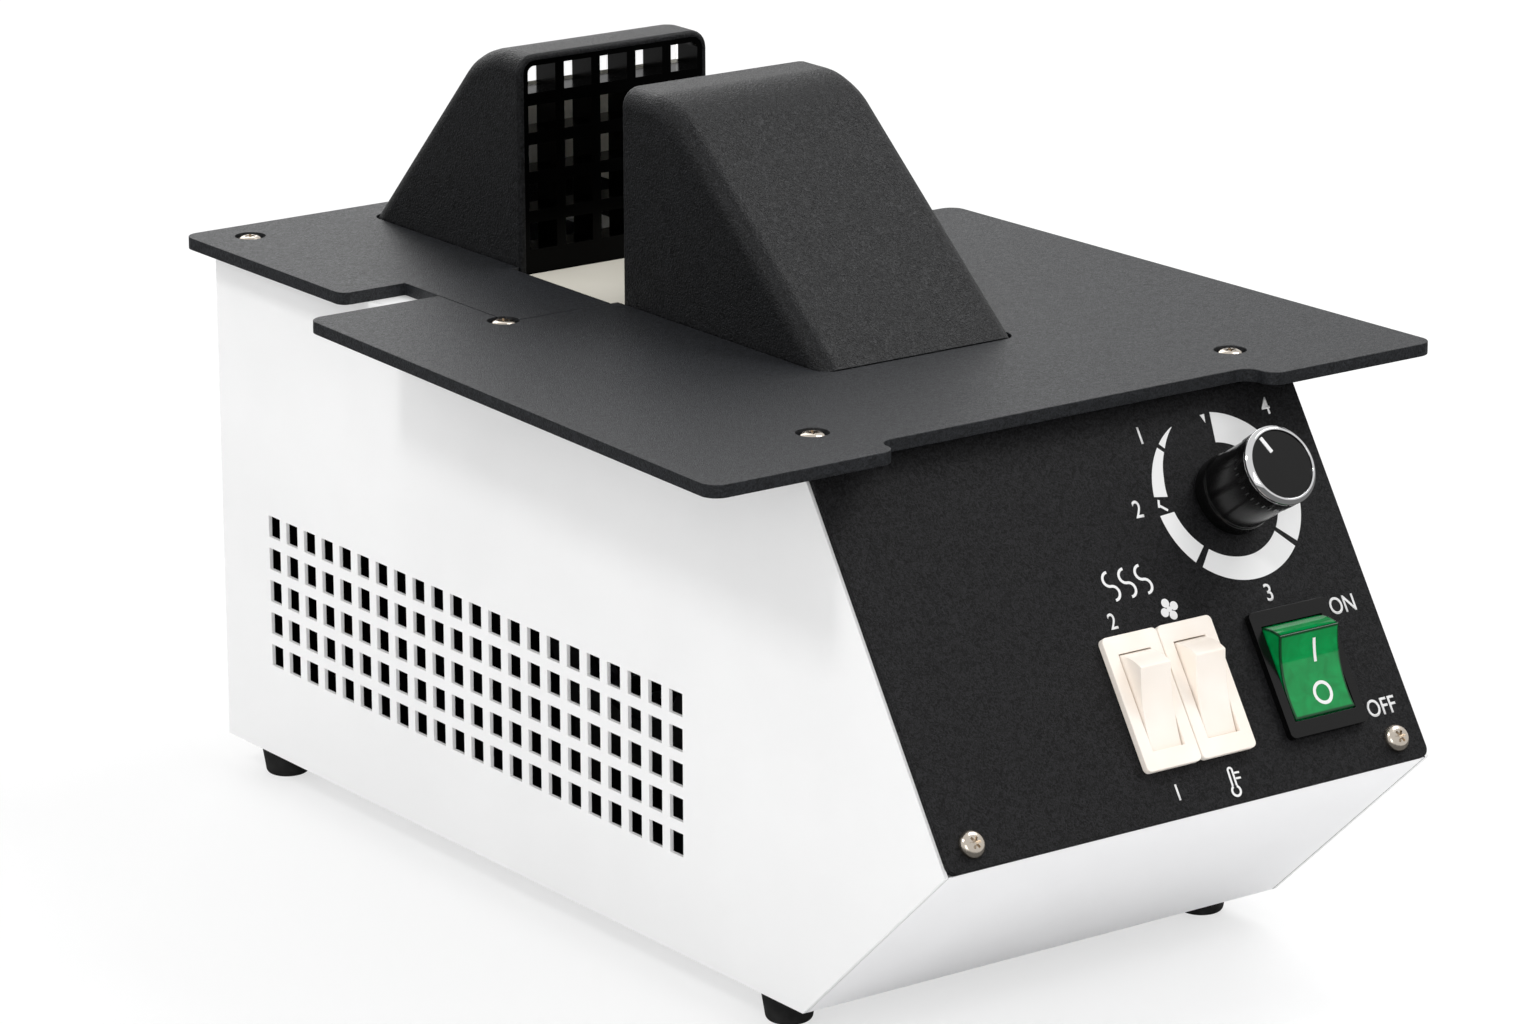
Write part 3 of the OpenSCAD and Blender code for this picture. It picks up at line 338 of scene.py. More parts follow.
@dataclass(frozen=True)
class TintedMoulding(Moulding):
    """Clear tinted plastic, such as a lit rocker: a glossy, clouded tint that turns deep along the edges.

    Light leaves clear plastic at its edges, so an edge looks darker than the faces beside it. The edges lie
    where two of the rocker's outer surfaces meet: its two flat sides, its round ends and its hollow face.

    Attributes:
        depth, cloud_mm: colour and size of the clouds in the tint.
        edge, edge_mm: colour along the edges, and its reach on each side of one.
        coat, coat_roughness: weight and roughness of the polished coat.
    """

    depth: str = "#00602f"
    cloud_mm: float = 4.0
    edge: str = "#033a1b"
    edge_mm: float = 0.75
    coat: float = 0.4
    coat_roughness: float = 0.03
    rocker: RockerShape = field(default_factory=RockerShape.read)

    def near(self, paint: Paint, reach: Socket, limit_mm: float) -> Socket:
        """Rise from 0 to 1 over the last edge_mm before a distance in metres reaches limit_mm."""
        start, stop = ((limit_mm - self.edge_mm * share) * MM for share in (1.0, 0.45))
        return paint.ramp(reach, 0.0, 1.0, start, stop)

    def from_axis(self, paint: Paint, axis: Vector) -> Socket:
        """Distance from a line along X through a point."""
        gone = paint.vector("SUBTRACT", paint.place, tuple(axis))
        return paint.vector("LENGTH", paint.vector("MULTIPLY", gone, (0, 1, 1)), output="Value")

    def edges(self, paint: Paint) -> Socket:
        """Mark the edges: 1 where two outer surfaces are near, 0 elsewhere."""
        shape = self.rocker
        across = paint.vector("DOT_PRODUCT", paint.place, (1, 0, 0), output="Value")
        aside = paint.math("ABSOLUTE", paint.math("SUBTRACT", across, shape.pivot.x))
        hollow_mm = shape.hollow_radius_mm()
        above = paint.math("SUBTRACT", hollow_mm * 2 * MM, self.from_axis(paint, shape.hollow_axis()))
        side = self.near(paint, aside, shape.wide_mm / 2)
        end = self.near(paint, self.from_axis(paint, shape.pivot), shape.end_mm)
        face = self.near(paint, above, hollow_mm)
        pairs = [paint.math("MULTIPLY", *pair) for pair in ((side, end), (side, face), (end, face))]
        return paint.math("MAXIMUM", paint.math("MAXIMUM", pairs[0], pairs[1]), pairs[2])

    def dress(self, paint: Paint) -> None:
        """Add the polished coat, the clouded tint and the dark edges."""
        super().dress(paint)
        paint.shader.inputs["Coat Weight"].default_value = self.coat
        paint.shader.inputs["Coat Roughness"].default_value = self.coat_roughness
        cloud = paint.ramp(paint.speckle(self.cloud_mm, twist=0.6), 0.0, 1.0)
        tint = paint.mix(cloud, self.depth, self.colour)
        paint.into("Base Color", paint.mix(self.edges(paint), tint, self.edge))


@dataclass(frozen=True)
class PlatedMetal(Finish):
    """Plated steel or bare metal: a mirror broken by fine turning or drawing lines."""

    roughness: float = 0.25
    metallic: float = 1.0
    line_mm: float = 0.25
    stretch: float = 12.0
    line_depth_mm: float = 0.003
    cloud_mm: float = 3.0

    def dress(self, paint: Paint) -> None:
        """Add the drawing lines and a clouded gloss."""
        scale = (1.0, 1 / self.stretch, 1.0)
        drawn = add(paint.tree, "ShaderNodeMapping", {"Vector": paint.place, "Scale": scale})
        lines = replace(paint, place=drawn.outputs["Vector"]).speckle(self.line_mm)
        paint.bump(lines, self.line_depth_mm)
        paint.vary_gloss(self.roughness, self.cloud_mm, 0.3)


@dataclass(frozen=True)
class SoftRubber(Finish):
    """Moulded rubber: matt, with a dusty bloom and a pitted skin."""

    roughness: float = 0.75
    bloom: str = "#2b2b2b"
    dust_mm: float = 4.0
    pit_mm: float = 0.4
    pit_depth_mm: float = 0.02

    def dress(self, paint: Paint) -> None:
        """Add the bloom and the pits."""
        dust = paint.ramp(paint.speckle(self.dust_mm, detail=4.0), 0.0, 0.6)
        paint.into("Base Color", paint.mix(dust, self.colour, self.bloom))
        paint.bump(paint.speckle(self.pit_mm), self.pit_depth_mm)


class Slot(Enum):
    """The record's material slots."""

    CASE = "case_white"
    PAN = "pan_grey"
    PANEL = "panel_black"
    PLATE = "plate_black"
    HOOD = "hood_black"
    GRILLE = "grille_black"
    TRAY = "cream_sheet"
    LINER = "liner_white"
    NICKEL = "nickel_steel"
    ZINC = "zinc_steel"
    RUBBER = "foot_rubber"
    BLACK = "black_plastic"
    CHROME = "chrome_ring"
    INK = "white_ink"
    GREY = "control_grey"
    TINNED = "tinned_brass"
    GREEN = "green_plastic"
    CREAM = "cream_plastic"
    DUCT = "duct_steel"
    MICA = "heater_board"
    HEATER = "heater_steel"
    FIN = "fin_aluminium"
    BLOWER = "blower_plastic"
    WHEEL = "wheel_steel"
    MOTOR = "motor_steel"
    BRONZE = "bearing_bronze"
    BOARD = "board_green"
    PARTS = "board_dark"
    PILLAR = "pillar_brass"
    PIN = "pin_brass"


# Sheet thickness of the case, less a hair, so that a cut edge keeps its paint.
SKIN = 1.1 * MM
HAIR = 0.1 * MM
# Where the linings' lips end: behind the mouths of the hoods, and below their tops.
LIP_BACK = 11.2 * MM
LIP_REACH = 9.6 * MM
# The normal of the undercut front, and how far its inner face lies along it.
UNDERCUT_NORMAL = (0, 0.673, 0.739)
UNDERCUT_INSIDE = -64.0 * MM


def finishes() -> dict[Slot, Finish]:
    """List the finish of every slot, each named for its real material."""
    pan_low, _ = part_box("base_pan")
    back_low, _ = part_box("back_panel")
    deck_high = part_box("deck_sheet")[1].z
    front_mouth, rear_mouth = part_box("front_hood")[1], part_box("rear_hood")[0]
    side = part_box("right_side_panel")[1].x - SKIN
    case_inside = (((1, 0, 0), -side), ((-1, 0, 0), -side), ((0, 0, -1), SKIN - deck_high),
                   ((0, -1, 0), -back_low.y - HAIR))
    pan_inside = (((0, 0, 1), pan_low.z + SKIN), (UNDERCUT_NORMAL, UNDERCUT_INSIDE))
    lips = (((0, 1, 0), front_mouth.y - LIP_BACK), ((0, -1, 0), -rear_mouth.y - LIP_BACK),
            ((0, 0, 1), front_mouth.z - LIP_REACH - HAIR))
    return {
        # Polyester powder paint, baked: clean white and satin. The inner side of the sheet is coloured near black,
        # which makes the vent holes look dark.
        Slot.CASE: InnerToneCoat("white_powder_coat", "#f6f6f6", specular=0.3, shade="#f2f2f2",
                             inner=case_inside),
        # The same paint on the folded pan, coloured whiter than on the case to brighten its downward-facing
        # undercut: painted light. Its inner side is coloured near black as well.
        Slot.PAN: InnerToneCoat("pan_powder_coat_with_painted_light", "#fafafb", specular=0.2, shade="#f6f6f7",
                            inner=pan_inside),
        # Wrinkle coat with a fine leather grain, nearly matt.
        Slot.PANEL: LeatherGrain("fine_grained_black_coat", "#050506", 0.56, specular=0.2, light="#1d1d1f",
                                 grain_mm=0.9, depth_mm=0.14, curl=1.6),
        # Vinyl-faced steel plate with a leather grain and a cool satin sheen.
        Slot.PLATE: LeatherGrain("satin_grained_black_coat", "#0c0e11", 0.46, specular=0.38, light="#26282c",
                                 grain_mm=1.1, depth_mm=0.13, curl=2.0),
        # The same skin on the hoods, with a coarser grain.
        Slot.HOOD: LeatherGrain("coarse_grained_black_coat", "#020203", 0.32, specular=0.19, light="#1c1d1f",
                                grain_mm=1.4, depth_mm=0.22, curl=2.6),
        # Heat-resistant nylon straight from a polished mould.
        Slot.GRILLE: Moulding("glossy_black_nylon", "#020202", 0.2, specular=0.05),
        # Enamelled steel sheet, off-white.
        Slot.TRAY: PowderCoat("off_white_enamel", "#e4e0d4", 0.35, shade="#d6d1c4"),
        # The lips behind the top rows of cells give off light of their own, or they would lie too dark.
        Slot.LINER: InnerToneCoat("white_enamel", "#f6f5f0", 0.4, shade="#efece2", inner=lips,
                              inner_colour="#ffffff", inner_glow=0.9),
        # Nickel plate on steel screws: warm and bright.
        Slot.NICKEL: PlatedMetal("nickel_plate", "#d9cfc2", 0.22),
        Slot.ZINC: PlatedMetal("zinc_plate", "#c3c6ca", 0.34),
        Slot.RUBBER: SoftRubber("black_rubber", "#0c0c0c"),
        # ABS from a polished mould.
        Slot.BLACK: Moulding("glossy_black_abs", "#050505", 0.22, specular=0.35),
        Slot.CHROME: PlatedMetal("bright_chrome", "#eeeeef", 0.07, line_depth_mm=0.0005),
        Slot.INK: Moulding("white_screen_ink", "#e9e9e9", 0.5),
        Slot.GREY: Moulding("grey_phenolic", "#6f6f6c", 0.5),
        Slot.TINNED: PlatedMetal("tinned_brass", "#cfcab8", 0.35),
        Slot.GREEN: TintedMoulding("tinted_green_polycarbonate", "#009148", 0.1, specular=0.3,
                                   depth="#007a3a"),
        Slot.CREAM: Moulding("cream_nylon", "#fff7ee", 0.34, specular=0.3, shade="#fbf1e6"),
        Slot.DUCT: PlatedMetal("galvanised_sheet", "#aeb3b8", 0.42, line_mm=3.0, stretch=1.0),
        Slot.MICA: Moulding("pressed_mica_board", "#b5a888", 0.6, shade="#a3967a"),
        Slot.HEATER: PlatedMetal("heat_dulled_steel", "#77777a", 0.45),
        Slot.FIN: PlatedMetal("aluminium_fin_stock", "#d4d6d9", 0.3),
        Slot.BLOWER: Moulding("black_glass_filled_nylon", "#121214", 0.55),
        Slot.WHEEL: PlatedMetal("pressed_aluminium", "#b9bcc0", 0.36),
        Slot.MOTOR: PowderCoat("grey_motor_enamel", "#6b6e72", 0.45, shade="#606367"),
        Slot.BRONZE: PlatedMetal("sintered_bronze", "#b58450", 0.5),
        Slot.BOARD: Moulding("green_solder_mask", "#155c36", 0.35),
        Slot.PARTS: Moulding("dark_relay_case", "#26282c", 0.4),
        Slot.PILLAR: PlatedMetal("turned_brass", "#c9a45c", 0.28),
        Slot.PIN: PlatedMetal("bright_brass", "#d8b877", 0.2),
    }


class FinishBook:
    """All the materials of the object, made once and looked up by slot."""

    def __init__(self) -> None:
        """Make every material."""
        self.materials = {slot: finish.build() for slot, finish in finishes().items()}

    def dress_nodes(self) -> None:
        """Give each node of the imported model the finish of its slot."""
        for part in frame["record"]["subparts"]:
            self.put(frame["nodes"][part["node"]], Slot(part["material_slot"]))

    def put(self, piece: bpy.types.Object, slot: Slot) -> None:
        """Make a slot's material the only one of a piece."""
        piece.data.materials.clear()
        piece.data.materials.append(self.materials[slot])


# ---- Making pieces ----

# Points closer than this many metres lie in the same place.
SAME = 1e-6


def link(name: str, data: bpy.types.ID) -> bpy.types.Object:
    """Put an object with this data into the scene."""
    made = bpy.data.objects.new(name, data)
    bpy.context.scene.collection.objects.link(made)
    return made


def from_bmesh(name: str, mesh: Mesh) -> bpy.types.Object:
    """Put a bmesh, in metres and in its place, into the scene. The bmesh is freed."""
    data = bpy.data.meshes.new(name)
    mesh.to_mesh(data)
    mesh.free()
    return link(name, data)


def piece_from(name: str, mesh: Mesh, book: FinishBook, slot: Slot, body: str) -> bpy.types.Object:
    """Turn a bmesh into a finished piece on a body.

    Args:
        name: the piece's name.
        mesh: its mesh, in place, in metres. It is freed.
        book: the materials.
        slot: the slot whose finish it takes.
        body: the body that it rides on.

    Returns:
        The new object.
    """
    piece = from_bmesh(name, mesh)
    book.put(piece, slot)
    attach(piece, body)
    log.info("made %s on %s", name, body)
    return piece


def smooth_within(mesh: Mesh, degrees: float) -> None:
    """Shade faces smoothly across edges that turn less than this angle."""
    limit = math.radians(degrees)
    for face in mesh.faces:
        face.smooth = True
    for edge in mesh.edges:
        edge.smooth = len(edge.link_faces) == 2 and edge.calc_face_angle(math.pi) < limit


def keep_flat(piece: bpy.types.Object) -> None:
    """Let flat faces look flat where they meet a rounding."""
    piece.modifiers.new("flat_faces", "WEIGHTED_NORMAL").keep_sharp = True


def bevel(mesh: Mesh, edges: list[Edge], reach: float, segments: int, clamp: bool = False) -> None:
    """Round edges, reaching this many metres from each, or less where clamp keeps roundings apart."""
    bmesh.ops.bevel(mesh, geom=edges, offset=reach, offset_type="OFFSET", segments=segments, profile=0.5,
                    affect="EDGES", clamp_overlap=clamp, material=-1)


def extrude(mesh: Mesh, faces: list[bmesh.types.BMFace]) -> list[Vert]:
    """Extrude faces without moving them and return the corners of the new ones."""
    grown = bmesh.ops.extrude_face_region(mesh, geom=faces)
    return [v for v in grown["geom"] if isinstance(v, Vert)]


@dataclass
class SoftenedCopy:
    """A copy of a node whose sharp edges are rounded, as folding, deburring or moulding leaves them.

    Attributes:
        radius_mm: how far the rounding reaches from the edge.
        body: the body that it rides on.
        segments: faces across the rounding.
        sharp: edges that turn more than this many degrees are rounded.
        smooth: edges that turn less than this many degrees are shaded smoothly.
        flat: faces that turn less than this many degrees become one before the rounding.
    """

    node: str
    slot: Slot
    radius_mm: float
    body: str = "case"
    segments: int = 3
    sharp: float = 32.0
    smooth: float = 38.0
    flat: float = 0.6

    def build(self, book: FinishBook) -> None:
        """Make the copy and let it stand for its node."""
        mesh = bmesh.new()
        mesh.from_mesh(frame["nodes"][self.node].data)
        bmesh.ops.remove_doubles(mesh, verts=mesh.verts, dist=SAME)
        flat, limit = math.radians(self.flat), math.radians(self.sharp)
        bmesh.ops.dissolve_limit(mesh, angle_limit=flat, verts=mesh.verts, edges=mesh.edges)
        edges = [e for e in mesh.edges if len(e.link_faces) == 2 and e.calc_face_angle(0.0) > limit]
        bevel(mesh, edges, self.radius_mm * MM, self.segments, clamp=True)
        bmesh.ops.recalc_face_normals(mesh, faces=mesh.faces)
        smooth_within(mesh, self.smooth)
        piece = piece_from(self.node + "_softened", mesh, book, self.slot, self.body)
        keep_flat(piece)
        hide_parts(self.node)


@dataclass
class HoodShell:
    """A hood pressed from sheet, open at its mouth and its foot, or the lining that lies inside it.

    The rounding along its sides runs on round the crest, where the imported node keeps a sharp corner.

    Attributes:
        hood, stands_for: the hood whose outline it follows, and the node that it stands for.
        inset_mm: how far it lies inside the hood's outline.
        start_mm: distance from the mouth to its front edge.
        foot_mm: height of its lower edge above the hood's.
        mouth_edge_mm: rounding of the outer edge round the mouth.
        lip_mm: how far below the hood's top the front edge is folded down, or 0 for no fold.
        lip_clear_mm: distance from the ends of the fold to the hood's sides.
        crest_mm, bend_mm: length of the flat top, and radius of the bend behind it.
        skirt_mm: height of the upright foot at the back.
        side_mm: radius along the sides.
        past_mm: how far the block reaches past the mouth and the foot before it is cut.
        segments: faces across the bend, the sides and the edge of the mouth.
    """

    hood: str
    stands_for: str
    slot: Slot
    inset_mm: float = 0.0
    wall_mm: float = 1.6
    start_mm: float = 0.0
    foot_mm: float = 0.0
    mouth_edge_mm: float = 1.2
    lip_mm: float = 0.0
    lip_clear_mm: float = 3.0
    crest_mm: float = 20.0
    bend_mm: float = 25.0
    skirt_mm: float = 3.5
    side_mm: float = 5.0
    past_mm: float = 20.0
    segments: tuple[int, int, int] = (14, 6, 4)
    smooth: float = 30.0

    def block(self, mesh: Mesh, run: float, rise: float, half: float) -> None:
        """Extrude the side outline across, with y from the mouth and z from the foot, and round it.

        Args:
            mesh: takes the block.
            run: length of the hood in metres.
            rise: its height.
            half: half its width.
        """
        past, inset = self.past_mm * MM, self.inset_mm * MM
        crest, skirt = self.crest_mm * MM, self.skirt_mm * MM
        lean = math.atan2(rise - skirt, run - crest)
        heel = skirt + inset * (math.tan(lean) - 1 / math.cos(lean))
        top = Vector((0, crest - inset * math.tan(lean / 2), rise - inset))
        spots = ((-past, -past), (run - inset, -past), (run - inset, heel), (top.y, top.z), (-past, top.z))
        side = mesh.faces.new([mesh.verts.new((inset - half, y, z)) for y, z in spots])
        bmesh.ops.translate(mesh, verts=extrude(mesh, [side]), vec=(2 * (half - inset), 0, 0))
        bmesh.ops.recalc_face_normals(mesh, faces=mesh.faces)
        bend = [e for e in mesh.edges if all((v.co - top).yz.length < SAME for v in e.verts)]
        bevel(mesh, bend, (self.bend_mm * MM - inset) * math.tan(lean / 2), self.segments[0])
        sides = [e for e in mesh.edges if sum(abs(f.normal.x) > 0.99 for f in e.link_faces) == 1
                 and not any(all(abs(v.co[axis] + past) < SAME for v in e.verts) for axis in (1, 2))]
        bevel(mesh, sides, self.side_mm * MM - inset, self.segments[1])

    def shell(self, run: float, rise: float, half: float) -> Mesh:
        """Cut the block open at the mouth and the foot and give what is left the sheet's thickness."""
        mesh = bmesh.new()
        self.block(mesh, run, rise, half)
        start = self.start_mm * MM
        for spot, normal in (((0, start, 0), (0, 1, 0)), ((0, 0, self.foot_mm * MM), (0, 0, 1))):
            bmesh.ops.bisect_plane(mesh, geom=mesh.verts[:] + mesh.edges[:] + mesh.faces[:], plane_co=spot,
                                   plane_no=normal, clear_inner=True)
        outer = set(mesh.verts)
        bmesh.ops.solidify(mesh, geom=mesh.faces[:], thickness=self.wall_mm * MM)
        if self.mouth_edge_mm > 0:
            mouth = [e for e in mesh.edges if all(v in outer and abs(v.co.y - start) < SAME for v in e.verts)]
            bevel(mesh, mouth, self.mouth_edge_mm * MM, self.segments[2])
        if self.lip_mm > 0:
            wide, tall = 2 * (half - self.lip_clear_mm * MM), (self.lip_mm - self.inset_mm) * MM
            high = rise - (self.lip_mm + self.inset_mm) / 2 * MM
            spot = Matrix.Translation((0, start + self.wall_mm / 2 * MM, high))
            size = Matrix.Diagonal((wide, self.wall_mm * MM, tall, 1))
            bmesh.ops.create_cube(mesh, size=1.0, matrix=spot @ size)
        return mesh

    def build(self, book: FinishBook) -> None:
        """Make the piece and let it stand for its node."""
        low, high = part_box(self.hood)
        mesh = self.shell(high.y - low.y, high.z - low.z, (high.x - low.x) / 2)
        # The front hood's mouth faces back and the rear hood's mouth faces front.
        front = self.hood == "front_hood"
        bmesh.ops.scale(mesh, vec=(1, -1 if front else 1, 1), verts=mesh.verts)
        spot = ((low.x + high.x) / 2, high.y if front else low.y, low.z)
        bmesh.ops.translate(mesh, vec=spot, verts=mesh.verts)
        bmesh.ops.recalc_face_normals(mesh, faces=mesh.faces)
        smooth_within(mesh, self.smooth)
        piece = piece_from(self.stands_for + "_pressed", mesh, book, self.slot, "case")
        keep_flat(piece)
        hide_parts(self.stands_for)


# ---- Printed marks ----


def thicken(mesh: Mesh) -> list[Vert]:
    """Double the faces of a flat drawing.

    Args:
        mesh: the drawing in X and Y.

    Returns:
        The corners of the upper faces.
    """
    for face in mesh.faces:
        if face.normal.z < 0:
            face.normal_flip()
    return extrude(mesh, mesh.faces[:])


class PanelPress:
    """Prints drawings on the control panel, x from its middle and s up from its lower edge, in mm.

    The knob's joint gives the normal of the panel's face and one point of it.
    """

    THICKNESS_MM = 1.6
    INK_MM = 0.06

    def __init__(self, book: FinishBook) -> None:
        """Work the axes of the face out from the knob's joint and the panel's lowest edge.

        Args:
            book: the materials.
        """
        self.book = book
        turn = next(j for j in frame["joints"] if j["name"] == "knob_turn")
        self.normal = Vector(turn["axis"])
        self.up = Vector((0, self.normal.z, -self.normal.y))
        spot = Vector(turn["pos_m"])
        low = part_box("control_panel")[0].z + self.THICKNESS_MM * MM * self.normal.z
        rise = (spot.z - low) / self.up.z
        self.origin = Vector((0, spot.y, spot.z)) - rise * self.up

    def lay(self, name: str, mesh: Mesh, x_mm: float, s_mm: float, turn: float = 0.0) -> None:
        """Give a flat drawing the thickness of ink and lay it on the panel.

        Args:
            name: the piece's name.
            mesh: the drawing in X and Y, in mm. It is freed.
            x_mm: place to the right of the middle.
            s_mm: place up the panel.
            turn: turn of the drawing, anticlockwise, in degrees.
        """
        spot = self.origin + Vector((x_mm * MM, 0, 0)) + self.up * s_mm * MM
        axes = Matrix((Vector((1, 0, 0)), self.up, self.normal)).transposed().to_4x4()
        where = Matrix.Translation(spot) @ axes @ Matrix.Rotation(math.radians(turn), 4, "Z")
        bmesh.ops.remove_doubles(mesh, verts=mesh.verts, dist=1e-4)
        bmesh.ops.translate(mesh, verts=thicken(mesh), vec=(0, 0, self.INK_MM))
        bmesh.ops.recalc_face_normals(mesh, faces=mesh.faces)
        bmesh.ops.transform(mesh, matrix=where @ Matrix.Scale(MM, 4), verts=mesh.verts)
        piece_from(name, mesh, self.book, Slot.INK, "case")


@dataclass
class DialBand:
    """The white band round the knob. It widens anticlockwise from a point to a broad block.

    Attributes:
        x_mm, s_mm: its centre on the panel.
        outer_mm: outer radius.
        gaps: middle and width in degrees of each gap.
        widths: angle in degrees anticlockwise from the right, and the band's width there in mm.
        step: degrees between two corners.
    """

    x_mm: float = 41.85
    s_mm: float = 74.4
    outer_mm: float = 21.8
    gaps: tuple[tuple[float, float], ...] = (
        (133.6, 3.2), (177.4, 13.0), (224.8, 5.5), (315.2, 4.5), (360.0, 5.0))
    widths: tuple[tuple[float, float], ...] = (
        (114.7, 0.15), (133.0, 2.0), (155.0, 3.4), (184.0, 4.5), (224.0, 5.4), (258.0, 6.0), (315.0, 6.6),
        (440.0, 7.9))
    step: float = 2.5

    def width(self, angle: float) -> float:
        """Width of the band in mm at an angle."""
        for (a, wa), (b, wb) in zip(self.widths, self.widths[1:]):
            if angle <= b:
                return wa + (wb - wa) * (angle - a) / (b - a)
        return self.widths[-1][1]

    def block(self, mesh: Mesh, start: float, stop: float) -> None:
        """Add one block of the band to a mesh in X and Y, in mm, as a strip of four-sided faces."""
        steps = max(2, round((stop - start) / self.step))
        rows = []
        for i in range(steps + 1):
            angle = start + (stop - start) * i / steps
            way = Vector((math.cos(math.radians(angle)), math.sin(math.radians(angle)), 0))
            rows.append([mesh.verts.new(way * r) for r in (self.outer_mm - self.width(angle), self.outer_mm)])
        for (a, b), (c, d) in zip(rows, rows[1:]):
            mesh.faces.new((a, b, d, c)).normal_update()

    def build(self, press: PanelPress) -> None:
        """Print the band on the panel."""
        edges = [self.widths[0][0]]
        for middle, wide in self.gaps:
            edges += [middle - wide / 2, middle + wide / 2]
        edges.append(self.widths[-1][0])
        mesh = bmesh.new()
        for start, stop in zip(edges[::2], edges[1::2]):
            self.block(mesh, start, stop)
        press.lay("dial_band", mesh, self.x_mm, self.s_mm)


@dataclass
class Lettering:
    """One plain word or number.

    Attributes:
        x_mm, s_mm: its centre on the panel.
        tall_mm: height of a capital.
        stretch: width against the plain letter form.
        weight_mm: how much bolder the strokes are.
    """

    name: str
    words: str
    x_mm: float
    s_mm: float
    tall_mm: float = 4.6
    stretch: float = 0.86
    weight_mm: float = 0.1

    # Height of a capital in the built-in typeface, for a size of 1.
    CAPITAL = 0.73

    def outline(self) -> Mesh:
        """Draw the letters in X and Y, in mm, centred on the origin."""
        curve = bpy.data.curves.new(self.name, "FONT")
        curve.body = self.words
        curve.size = self.tall_mm / self.CAPITAL
        curve.offset = self.weight_mm / 2
        holder = link(self.name, curve)
        shape = bpy.data.meshes.new_from_object(holder)
        bpy.data.objects.remove(holder)
        bpy.data.curves.remove(curve)
        mesh = bmesh.new()
        mesh.from_mesh(shape)
        bpy.data.meshes.remove(shape)
        bmesh.ops.scale(mesh, vec=(self.stretch, 1, 1), verts=mesh.verts)
        spans = [[v.co[i] for v in mesh.verts] for i in (0, 1)]
        middle = [(min(span) + max(span)) / 2 for span in spans]
        bmesh.ops.translate(mesh, vec=(-middle[0], -middle[1], 0), verts=mesh.verts)
        return mesh

    def build(self, press: PanelPress) -> None:
        """Print the word on the panel."""
        press.lay(self.name, self.outline(), self.x_mm, self.s_mm)


def disc(mesh: Mesh, radius: float, x: float, y: float) -> None:
    """Add a filled disc to a drawing in mm."""
    spot = Matrix.Translation((x, y, 0))
    bmesh.ops.create_circle(mesh, cap_ends=True, segments=20, radius=radius, matrix=spot)


def stroke(mesh: Mesh, wide: float, long: float, x: float, y: float, turn: float = 0.0) -> None:
    """Add a bar with square ends to a drawing in mm, centred on x and y."""
    spot = Matrix.Translation((x, y, 0)) @ Matrix.Rotation(math.radians(turn), 4, "Z")
    size = Matrix.Diagonal((wide, long, 1, 1))
    bmesh.ops.create_grid(mesh, x_segments=1, y_segments=1, size=0.5, matrix=spot @ size)


def ring(mesh: Mesh, inner: float, outer: float, x: float, y: float, start: float = 0.0,
         sweep: float = 360.0) -> None:
    """Add a ring, or a part of one, to a drawing in mm."""
    a = math.radians(start)
    ends = [mesh.verts.new((x + r * math.cos(a), y + r * math.sin(a), 0)) for r in (inner, outer)]
    bmesh.ops.spin(mesh, geom=[*ends, mesh.edges.new(ends)], cent=(x, y, 0), axis=(0, 0, 1),
                   angle=math.radians(sweep), steps=max(6, round(sweep / 10)), use_merge=sweep >= 360,
                   use_duplicate=False)


